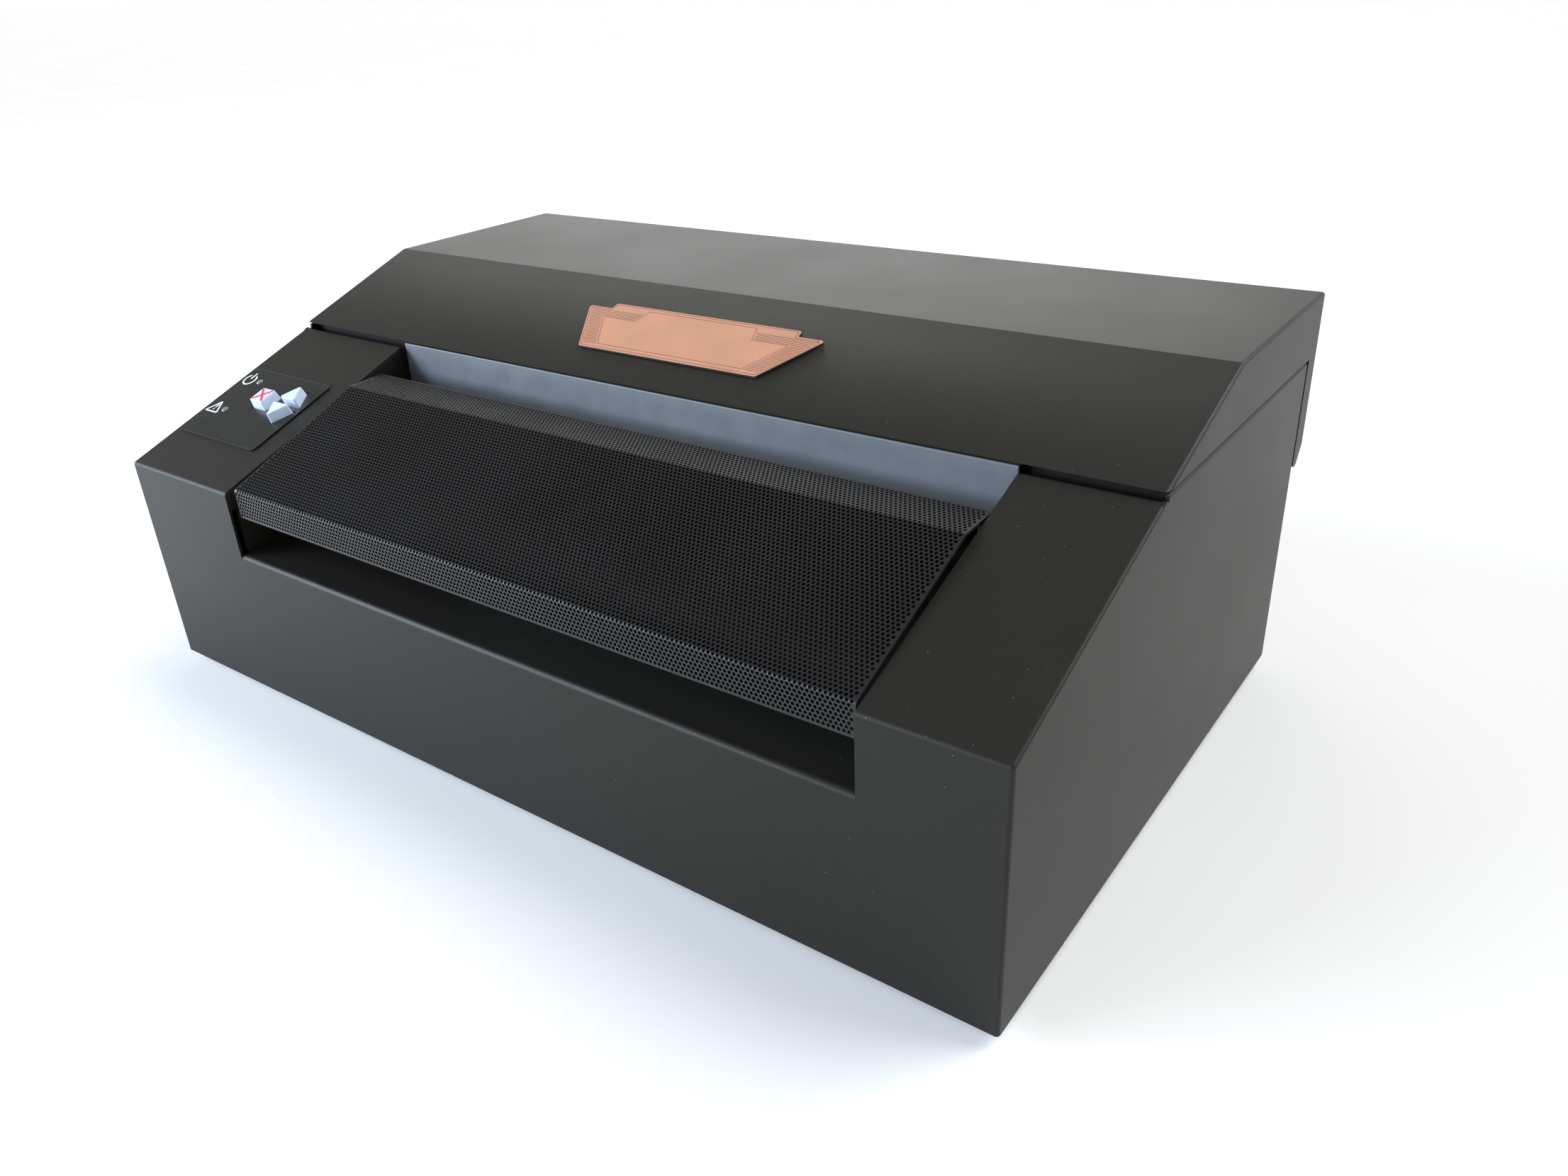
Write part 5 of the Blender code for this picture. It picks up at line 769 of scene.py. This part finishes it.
def cover_part(name, rows, first_row, row_count, bottom, top):
    """Rows of perforated cells between two edges of the unrolled sheet, as one closed sheet."""
    point = HOLE_PITCH / math.sqrt(3)
    left, right = COVER_LOW.x, COVER_HIGH.x
    margin = HOLE_RADIUS + COVER_RIM
    columns = int((right - left - 2 * margin - HOLE_PITCH / 2) / HOLE_PITCH) + 1
    start = left + (right - left - (columns - 0.5) * HOLE_PITCH) / 2
    hex_angles = [math.pi / 2 + math.pi / 3 * k for k in range(6)]
    hole_angles = [math.pi / 2 + 2 * math.pi / HOLE_SIDES * k for k in range(HOLE_SIDES)]
    ring = []
    i = j = 0
    while i < 6 or j < HOLE_SIDES:
        next_hex = hex_angles[0] + math.pi / 3 * (i + 1)
        next_hole = hole_angles[0] + 2 * math.pi / HOLE_SIDES * (j + 1)
        if j >= HOLE_SIDES or (i < 6 and next_hex <= next_hole):
            ring.append((i % 6, (i + 1) % 6, 6 + j % HOLE_SIDES))
            i += 1
        else:
            ring.append((i % 6, 6 + (j + 1) % HOLE_SIDES, 6 + j % HOLE_SIDES))
            j += 1
    template = np.array([(point * math.cos(a), point * math.sin(a)) for a in hex_angles] +
                        [(HOLE_RADIUS * math.cos(a), HOLE_RADIUS * math.sin(a)) for a in hole_angles])
    cells = []
    for r in range(first_row, first_row + row_count):
        shift = HOLE_PITCH / 2 if r % 2 else 0
        s = rows + r * ROW_PITCH
        cells += [(start + shift + c * HOLE_PITCH, s) for c in range(columns)]
    cells = np.array(cells)
    flat = cells[:, None, :] + template[None, :, :]
    across, along = flat[:, :6, 0], flat[:, :6, 1]
    inner_left = start + HOLE_PITCH / 4
    inner_right = start + (columns - 1) * HOLE_PITCH + HOLE_PITCH / 4
    across[across < inner_left - HOLE_PITCH * 0.2] = left
    across[across > inner_right + HOLE_PITCH * 0.2] = right
    low_row = rows + first_row * ROW_PITCH
    high_row = rows + (first_row + row_count - 1) * ROW_PITCH
    if bottom is not None:
        along[along < low_row - point * 0.4] = bottom
    if top is not None:
        along[along > high_row + point * 0.4] = top
    count = len(cells)
    size = template.shape[0]
    points = flat.reshape(-1, 2)
    keys = np.round(points / 1e-6).astype(np.int64)
    _, index, inverse = np.unique(keys, axis=0, return_index=True, return_inverse=True)
    inverse = inverse.reshape(-1)
    points = points[index]
    faces = (np.array(ring)[None, :, :] + (np.arange(count) * size)[:, None, None]).reshape(-1, 3)
    faces = inverse[faces]
    good = (faces[:, 0] != faces[:, 1]) & (faces[:, 1] != faces[:, 2]) & (faces[:, 0] != faces[:, 2])
    faces = faces[good]
    total = len(points)
    travel = {}
    upper = np.zeros((total, 3))
    lower = np.zeros((total, 3))
    for k, (u, s) in enumerate(points):
        key = round(s, 6)
        if key not in travel:
            travel[key] = (cover_point(s, 0), cover_point(s, COVER_SHEET))
        (y0, z0), (y1, z1) = travel[key]
        upper[k] = (u, y0, z0)
        lower[k] = (u, y1, z1)
    edges = np.concatenate([faces[:, [0, 1]], faces[:, [1, 2]], faces[:, [2, 0]]])
    codes = np.sort(edges, axis=1)
    codes = codes[:, 0] * total + codes[:, 1]
    _, back, counts = np.unique(codes, return_inverse=True, return_counts=True)
    lonely = counts[back.reshape(-1)] == 1
    rim = edges[lonely]
    walls = np.concatenate([np.stack([rim[:, 1], rim[:, 0], rim[:, 0] + total], 1),
                            np.stack([rim[:, 1], rim[:, 0] + total, rim[:, 1] + total], 1)])
    all_faces = np.concatenate([faces, faces[:, ::-1] + total, walls])
    mesh = bpy.data.meshes.new(name)
    vertices = np.concatenate([upper, lower])
    mesh.vertices.add(len(vertices))
    mesh.vertices.foreach_set("co", vertices.astype(np.float32).ravel())
    mesh.loops.add(len(all_faces) * 3)
    mesh.loops.foreach_set("vertex_index", all_faces.astype(np.int32).ravel())
    mesh.polygons.add(len(all_faces))
    mesh.polygons.foreach_set("loop_start", np.arange(0, len(all_faces) * 3, 3, dtype=np.int32))
    mesh.polygons.foreach_set("loop_total", np.full(len(all_faces), 3, dtype=np.int32))
    mesh.update(calc_edges=True)
    mesh.shade_flat()
    return new_object(name, mesh, CASE)


def make_cover():
    _, lengths = cover_spans()
    whole = sum(lengths)
    count = int((whole - COVER_RIM * 2) / ROW_PITCH)
    spare = whole - 2 * COVER_RIM - 2 * HOLE_RADIUS - (count - 1) * ROW_PITCH
    rows = COVER_RIM + HOLE_RADIUS + spare / 2
    lip_rows = round((lengths[0] - rows) / ROW_PITCH + 0.5)
    slope_rows = round(lengths[1] / ROW_PITCH)
    half = slope_rows // 2
    parts = [("cover_lip", 0, lip_rows, 0.0, None), ("cover_slope_lower", lip_rows, half, None, None),
             ("cover_slope_upper", lip_rows + half, slope_rows - half, None, None),
             ("cover_strip", lip_rows + slope_rows, count - lip_rows - slope_rows, None, whole)]
    for name, first, number, bottom, top in parts:
        part = cover_part(name, rows, first, number, bottom, top)
        if name == "cover_lip":
            dress(part, "cover", "cover", "perforated_cover")
        else:
            dress(part, "cover", "cover")
    rear = COVER_PROFILE[3]
    hem = box("cover_hem", (COVER_LOW.x, rear[0] - COVER_SHEET, rear[1] - COVER_HEM),
              (COVER_HIGH.x, rear[0], rear[1] - COVER_SHEET), CASE)
    dress(soften(hem, THIN_EDGE, 2), "cover", "cover")
    top = rear[1] - COVER_SHEET
    ear = arc(COVER_PIVOT, COVER_EAR, -math.pi, 0, 16)
    ear += [(COVER_PIVOT[0] + COVER_EAR, top), (COVER_PIVOT[0] - COVER_EAR, top)]
    hole = circle(COVER_PIVOT, COVER_EYE, 24)
    for word, low in (("left", COVER_LOW.x), ("right", COVER_HIGH.x - COVER_SHEET)):
        dress(plate("cover_ear_" + word, ear, low, low + COVER_SHEET, SIDE, [hole]), "cover", "cover")


# Control panel

POWER_CENTRE = (-0.2740, 0.0843)
POWER_OUTER = 0.0050
POWER_INNER = 0.0040
POWER_FROM = math.radians(125)
POWER_TO = math.radians(415)
STROKE_HALF = 0.0005
ALERT_TRIANGLE = [(-0.2797, 0.0518), (-0.2667, 0.0518), (-0.2732, 0.0624)]
ALERT_LINE = 0.0009
ALERT_STROKE = (0.0557, 0.0592)
ALERT_DOT = 0.0545


def make_controls():
    outline = rounded(rectangle(OVERLAY_LOW, OVERLAY_HIGH), OVERLAY_ROUND, 8)
    film = plate("control_film", outline, FILM_LIFT, FILM_TOP, SHOULDER)
    carve(film, control_holes(-OVERRUN, OVERRUN))
    dress(film, "film", "chassis", "control_overlay")
    edge = 0.0004
    hole = rounded(rectangle((OVERLAY_LOW[0] + edge, OVERLAY_LOW[1] + edge),
                             (OVERLAY_HIGH[0] - edge, OVERLAY_HIGH[1] - edge)), OVERLAY_ROUND - 0.0003, 8)
    rim = plate("control_film_edge", outline, FILM_LIFT + OVERLAY_THICKNESS * 0.4, FILM_TOP + 0.00005,
                SHOULDER, [hole])
    dress(rim, "film_edge", "chassis")
    low = FILM_TOP
    ink = FILM_TOP + INK_HEIGHT
    across, up = POWER_CENTRE
    ring = arc(POWER_CENTRE, POWER_OUTER, POWER_FROM, POWER_TO, 40)
    ring += arc(POWER_CENTRE, POWER_INNER, POWER_TO, POWER_FROM, 40)
    bar = rectangle((across - STROKE_HALF, up + 0.0008), (across + STROKE_HALF, up + 0.0062))
    meshes = [plate_mesh(ring, low, ink), plate_mesh(bar, low, ink)]
    dress(joined("power_mark", meshes, SHOULDER), "white_ink", "chassis")
    outer = rounded(ALERT_TRIANGLE, 0.0008, 5)
    hollow = rounded(inset(ALERT_TRIANGLE, ALERT_LINE), 0.0004, 5)
    middle = ALERT_TRIANGLE[2][0]
    foot, head = ALERT_STROKE
    stroke = [(middle - STROKE_HALF, head), (middle - 0.00035, foot), (middle + 0.00035, foot),
              (middle + STROKE_HALF, head)]
    meshes = [plate_mesh(outer, low, ink, [hollow]), plate_mesh(stroke, low, ink),
              plate_mesh(circle((middle, ALERT_DOT), STROKE_HALF, 12), low, ink)]
    dress(joined("alert_mark", meshes, SHOULDER), "white_ink", "chassis")
    for name, (outline_of, node) in KEYS.items():
        make_key(name, outline_of, node)
    for name, centre in LAMPS.items():
        make_lamp(name, centre)


KEY_CROWN = 0.0006
KEY_DISH = 0.00012
MARK_RISE = 0.00008
MARK_SUNK = 0.00028
CROSS_SUNK = 0.00038
CROSS_REACH = 0.006864
CROSS_HALF = 0.00072
LAMP_RINGS = ((1.0, -0.0080), (1.0, 0.0008), (0.9, 0.0011), (0.6, 0.0013), (0.25, 0.0014))


def middle_of(points):
    return [sum(p[k] for p in points) / len(points) for k in range(2)]


def tapered(points, share):
    u, v = middle_of(points)
    return [(u + (p[0] - u) * share, v + (p[1] - v) * share) for p in points]


def make_key(name, outline_of, node):
    points = outline_of()
    top = OVERLAY_THICKNESS + KEY_PROUD
    base = rounded(points, KEY_EDGE, 5)
    crown = tapered(base, KEY_TOP_SHARE)
    levels = [(base, -SHEET - 0.0005), (base, 0), (crown, top - KEY_CROWN)]
    for i in range(1, 5):
        angle = math.pi / 2 * i / 4
        share = 1 - 0.085 * (1 - math.cos(angle))
        levels.append((tapered(crown, share), top - KEY_CROWN * (1 - math.sin(angle))))
    levels.append((tapered(crown, 0.55), top - KEY_DISH))
    cap = from_bmesh(name + "_cap", loft_mesh(levels), SHOULDER)
    dress(smooth_sides(cap, 50), "key", name, node)
    low = top - MARK_SUNK
    high = top + MARK_RISE
    u, v = middle_of(points)
    if name == "cancel":
        strokes = []
        for turn in (1, -1):
            along = Vector((1, turn)).normalized()
            side = Vector((-along.y, along.x)) * CROSS_HALF
            a = Vector((u, v)) - along * CROSS_REACH
            b = Vector((u, v)) + along * CROSS_REACH
            corners = [tuple(a - side), tuple(b - side), tuple(b + side), tuple(a + side)]
            strokes.append(plate("cancel_mark", corners, top - CROSS_SUNK, high, SHOULDER))
        dress(carve(strokes[0], strokes[1], operation="UNION"), "red_ink", name)
    elif name == "feed":
        mark = [(u - 0.0012, v - 0.0007), (u + 0.0012, v - 0.0007), (u, v + 0.0015)]
        dress(plate("feed_mark", mark, low, high, SHOULDER), "white_ink", name)
    else:
        bars = [plate_mesh(rectangle((u + x - 0.0004, v - 0.0012), (u + x + 0.0004, v + 0.0012)), low, high)
                for x in (-0.0009, 0.0009)]
        dress(joined("pause_mark", bars, SHOULDER), "white_ink", name)


def make_lamp(name, centre):
    profile = [(LAMP_RADIUS * share, height) for share, height in LAMP_RINGS]
    lens = turned(name + "_lens", profile, LAMP_SIDES, centre, SHOULDER)
    dress(smooth_sides(lens, 50), "lens", "chassis", name + "_lamp")


# Badge

BADGE_LOW = 0.0003
BADGE_TOP = 0.0017
BADGE_FACE = 0.0013
BADGE_INK = 0.00004
BADGE_SHIFT = 0.0023
BADGE_FOOT = (0.0617, 0.0227)
BADGE_WING = (0.0828, 0.0587)
BADGE_CREST = (0.0651, 0.0637)
PLAIN_FOOT = (0.0505, 0.0265)
PLAIN_WING = (0.0650, 0.0504)
PLAIN_STEP = (0.0410, 0.0504)
PLAIN_CREST = (0.0380, 0.0606)
STRIPE_PITCH = 0.0013
STRIPE_HALF = 0.00016
STRIPE_GAP = 0.0011
BORDER_INSET = 0.0011
BORDER_WIDTH = 0.00028


def mirrored(half):
    return [(-x, y) for x, y in half[:1]] + half + [(-x, y) for x, y in reversed(half[1:])]


def badge_outline(grow):
    return inset(mirrored([BADGE_FOOT, BADGE_WING, (BADGE_CREST[0], BADGE_WING[1]), BADGE_CREST]), -grow)


def badge_rounds(grow=0.0):
    """The badge's outline with every corner rounded alike."""
    return rounded(badge_outline(grow), 0.0014, 5)


def plain_outline(grow=0.0):
    return inset(mirrored([PLAIN_FOOT, PLAIN_WING, PLAIN_STEP, PLAIN_CREST]), -grow)


def between(first, last, s):
    share = (s - first[1]) / (last[1] - first[1])
    return first[0] + (last[0] - first[0]) * share


def make_badge():
    seat = LID_SLOPE @ Matrix.Translation((BADGE_SHIFT, 0, 0))
    backing = plate("badge_backing", badge_rounds(), BADGE_LOW, BADGE_FACE, seat)
    dress(backing, "black_plastic", "lid", "badge_plate")
    face = plate("badge_face", badge_rounds(-0.0001), BADGE_FACE, BADGE_TOP, seat)
    soften(face, 0.00012, 2)
    dress(face, "copper", "lid")
    low = BADGE_TOP - 0.0001
    high = BADGE_TOP + BADGE_INK
    border_hole = badge_rounds(-BORDER_INSET - BORDER_WIDTH)
    plain_hole = rounded(plain_outline(-BORDER_WIDTH), 0.0006, 4)
    marks = [plate_mesh(badge_rounds(-BORDER_INSET), low, high, [border_hole]),
             plate_mesh(rounded(plain_outline(), 0.0008, 4), low, high, [plain_hole])]
    s = PLAIN_FOOT[1]
    margin = BORDER_INSET + 0.0008
    while s < BADGE_WING[1] - margin:
        outer = between(BADGE_FOOT, BADGE_WING, s) - margin * 1.3
        if s < PLAIN_WING[1]:
            inner = between(PLAIN_FOOT, PLAIN_WING, s) + STRIPE_GAP
        else:
            inner = between(PLAIN_STEP, PLAIN_CREST, s) + STRIPE_GAP
        for side in (-1, 1):
            first, last = sorted((side * inner, side * outer))
            stripe = rectangle((first, s - STRIPE_HALF), (last, s + STRIPE_HALF))
            marks.append(plate_mesh(stripe, low, high))
        s += STRIPE_PITCH
    dress(joined("badge_stripes", marks, seat), "copper_ink", "lid")


# Small hardware: screws, feet, socket contacts and the marks on the switch

UNDERSIDE = local_frame(place(0, 0, 0), (1, 0, 0), (0, -1, 0))
SCREW_SIDES = 28


def screw(name, matrix, centre, lift, radius, body):
    """A pan-head screw with a cross recess."""
    height = radius * 0.62
    profile = [(radius, lift), (radius, lift + height * 0.35), (radius * 0.95, lift + height * 0.62),
               (radius * 0.80, lift + height * 0.85), (radius * 0.52, lift + height)]
    head = turned(name, profile, SCREW_SIDES, centre, matrix)
    slot = radius * 0.13
    reach = radius * 0.58
    tools = [from_bmesh("slot", box_at(centre, half, lift + height * 0.5, lift + height * 2), matrix)
             for half in ((reach, slot), (slot, reach))]
    return dress(smooth_sides(carve(head, *tools), 40), "steel", body)


FAN_HOLE_SPACING = 0.0250
ROCKER_PROUD = 0.0030
ROCKER_VALLEY = 0.0010
ROCKER_HALF = 0.0097
FEET_ACROSS = {"foot_front_left": -0.25, "foot_front_right": 0.25,
               "foot_rear_left": -0.25, "foot_rear_right": 0.25}
BASE_SCREW_ACROSS = (-0.2, 0, 0.2)
BASE_SCREW_DEPTHS = (0.012, 0.333)
INLET_PINS = ((-0.007, -0.002), (0.007, -0.002), (0, 0.002))
SWITCH_RING = (PORT_ACROSS - 0.0050, SWITCH_LIFT)
MARK_LOW = -0.0001
MARK_HIGH = 0.00006


def make_hardware():
    for i, (u, v) in enumerate(((-1, -1), (1, -1), (1, 1), (-1, 1))):
        centre = (FAN_CENTRE[0] + u * FAN_HOLE_SPACING, FAN_CENTRE[1] + v * FAN_HOLE_SPACING)
        screw("fan_screw_%d" % (i + 1), REAR, centre, 0, 0.0030, "chassis")
    for row, depth in enumerate(BASE_SCREW_DEPTHS):
        for i, x in enumerate(BASE_SCREW_ACROSS):
            screw("base_screw_%d" % (3 * row + i + 1), UNDERSIDE, (x, -depth), 0, 0.0032, "chassis")
    for name, x in FEET_ACROSS.items():
        low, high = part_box(name)
        centre = (x, FRONT - (low.y + high.y) / 2)
        drop = FLOOR_LIFT - low.z
        r = (high.x - low.x) / 2
        profile = [(r, FLOOR_LIFT - high.z), (r, drop - 0.0012), (r - 0.0004, drop - 0.0004),
                   (r - 0.0012, drop), (r * 0.55, drop), (r * 0.50, drop - 0.0004),
                   (r * 0.48, drop - 0.0022)]
        foot = turned(name + "_pad", profile, 48, centre, UNDERSIDE)
        dress(smooth_sides(foot, 50), "rubber", "chassis", name)
        screw(name + "_screw", UNDERSIDE, centre, drop - 0.0042, 0.0036, "chassis")
    pins = [box_at((PORT_ACROSS + u, INLET_LIFT + v), (0.0010, 0.0020), -0.0190, -0.0040)
            for u, v in INLET_PINS]
    dress(soften(joined("inlet_contacts", pins, REAR), THIN_EDGE, 2), "brass", "chassis")
    tongue = box_at((PORT_ACROSS, SOCKET_LIFT), (0.0030, 0.0022), -0.0144, -0.0040)
    dress(soften(from_bmesh("port_tongue", tongue, REAR), THIN_EDGE, 2), "white_ink", "chassis")
    leaves = [box_at((PORT_ACROSS + u, SOCKET_LIFT + v), (0.0006, 0.0001), -0.0138, -0.0044)
              for u in (-0.0014, 0.0014) for v in (-0.0023, 0.0023)]
    dress(joined("port_contacts", leaves, REAR), "brass", "chassis")
    seat = ROCKER_VALLEY - SHEET / 2
    hole = circle(SWITCH_RING, 0.0016)
    ring = plate_mesh(circle(SWITCH_RING, 0.0021), seat + MARK_LOW, seat + MARK_HIGH, [hole])
    slant = REAR @ Matrix.Translation((PORT_ACROSS, SWITCH_LIFT, seat))
    slant = slant @ Matrix.Rotation(-math.atan2(ROCKER_PROUD - ROCKER_VALLEY, ROCKER_HALF), 4, "Y")
    bar = plate_mesh(rectangle((0.0028, -0.0022), (0.0033, 0.0022)), MARK_LOW, MARK_HIGH)
    dress(from_bmesh("switch_ring", ring, REAR), "white_ink", "rocker")
    dress(from_bmesh("switch_bar", bar, slant), "white_ink", "rocker")


# Everything else keeps its CAD shape and takes a finished material

def paint_nodes():
    slots = {s["node"]: s["material_slot"] for s in frame["record"]["subparts"]}
    for name, node in frame["nodes"].items():
        # The listed sheets take the darker black paint as painted shade; the rest take their slot's finish.
        finish = "inner_paint" if name in SHADE_PAINTED_SHEETS else FINISH_OF_SLOT[slots[name]]
        if not node.data.materials:
            node.data.materials.append(None)
        for i in range(len(node.data.materials)):
            node.data.materials[i] = FINISHES[finish]


# Stage: pale floor, soft light and the camera of the photograph

def make_stage():
    size = 300.0
    bm = bmesh.new()
    corners = [bm.verts.new((x * size, y * size, -0.0002)) for x, y in ((-1, -1), (1, -1), (1, 1), (-1, 1))]
    bm.faces.new(corners)
    floor = from_bmesh("floor", bm)
    material, tree, shader = nodes_of("floor_paper")
    speck = noise(tree, 3.0, 2.0)
    pale = mix_colour(tree, remap(tree, speck.outputs["Fac"], 0, 1), (0.89, 0.89, 0.89), (0.91, 0.91, 0.91))
    tree.links.new(pale, shader.inputs["Base Color"])
    settle(shader, {"Roughness": 0.9, "Specular IOR Level": 0.1})
    floor.data.materials.append(material)

    world = bpy.data.worlds.new("soft_world")
    bpy.context.scene.world = world
    world.use_nodes = True
    tree = world.node_tree
    background = tree.nodes["Background"]
    where = tree.nodes.new("ShaderNodeTexCoord")
    apart = tree.nodes.new("ShaderNodeSeparateXYZ")
    tree.links.new(where.outputs["Generated"], apart.inputs["Vector"])
    ramp = tree.nodes.new("ShaderNodeValToRGB")
    tree.links.new(apart.outputs["Z"], ramp.inputs["Fac"])
    stops = ramp.color_ramp.elements
    stops[0].position, stops[0].color = SKYLINE_TOP, SKYLINE
    stops[1].position, stops[1].color = SURROUND_FROM, SURROUND
    facing = tree.nodes.new("ShaderNodeVectorMath")
    facing.operation = "DOT_PRODUCT"
    facing.inputs[1].default_value = Vector(WALL_TOWARDS).normalized()
    tree.links.new(where.outputs["Generated"], facing.inputs[0])
    wall = tree.nodes.new("ShaderNodeMapRange")
    wall.interpolation_type = "SMOOTHSTEP"
    wall.inputs["From Min"].default_value, wall.inputs["From Max"].default_value = WALL_EDGE
    wall.inputs["To Max"].default_value = WALL_STRENGTH
    tree.links.new(facing.outputs["Value"], wall.inputs["Value"])
    both = tree.nodes.new("ShaderNodeVectorMath")
    both.operation = "ADD"
    tree.links.new(ramp.outputs["Color"], both.inputs[0])
    tree.links.new(wall.outputs["Result"], both.inputs[1])
    tree.links.new(both.outputs["Vector"], background.inputs["Color"])
    background.inputs["Strength"].default_value = 1.0

    def lamp(name, kind, away, colour, power):
        data = bpy.data.lights.new(name, kind)
        data.color = colour
        data.energy = power
        light = bpy.data.objects.new(name, data)
        bpy.context.scene.collection.objects.link(light)
        light.location = away
        light.rotation_euler = (-Vector(away)).to_track_quat("-Z", "Y").to_euler()
        return data

    lamp("soft_sun", "SUN", SUN_FROM, SUN_COLOUR, SUN_STRENGTH).angle = math.radians(SUN_SPREAD)
    for name, (away, size, colour, power) in AREA_LAMPS.items():
        area = lamp(name, "AREA", away, colour, power)
        area.shape = "RECTANGLE"
        area.size, area.size_y = size

    data = bpy.data.cameras.new("camera")
    data.sensor_fit = "HORIZONTAL"
    data.sensor_width = SENSOR
    data.lens = FOCAL_PIXELS / IMAGE_WIDTH * SENSOR
    data.clip_start = 0.01
    data.clip_end = 100
    camera = bpy.data.objects.new("camera", data)
    bpy.context.scene.collection.objects.link(camera)
    right = CAMERA_FORWARD.cross(CAMERA_UP).normalized()
    up = right.cross(CAMERA_FORWARD).normalized()
    turn = Matrix((right, up, -CAMERA_FORWARD.normalized())).transposed().to_4x4()
    camera.matrix_world = Matrix.Translation(CAMERA_PLACE) @ turn
    bpy.context.scene.camera = camera
    bpy.context.scene.view_settings.view_transform = "Standard"


paint_nodes()
make_case()
make_lid()
make_panel()
make_cover()
make_controls()
make_badge()
make_hardware()
make_stage()
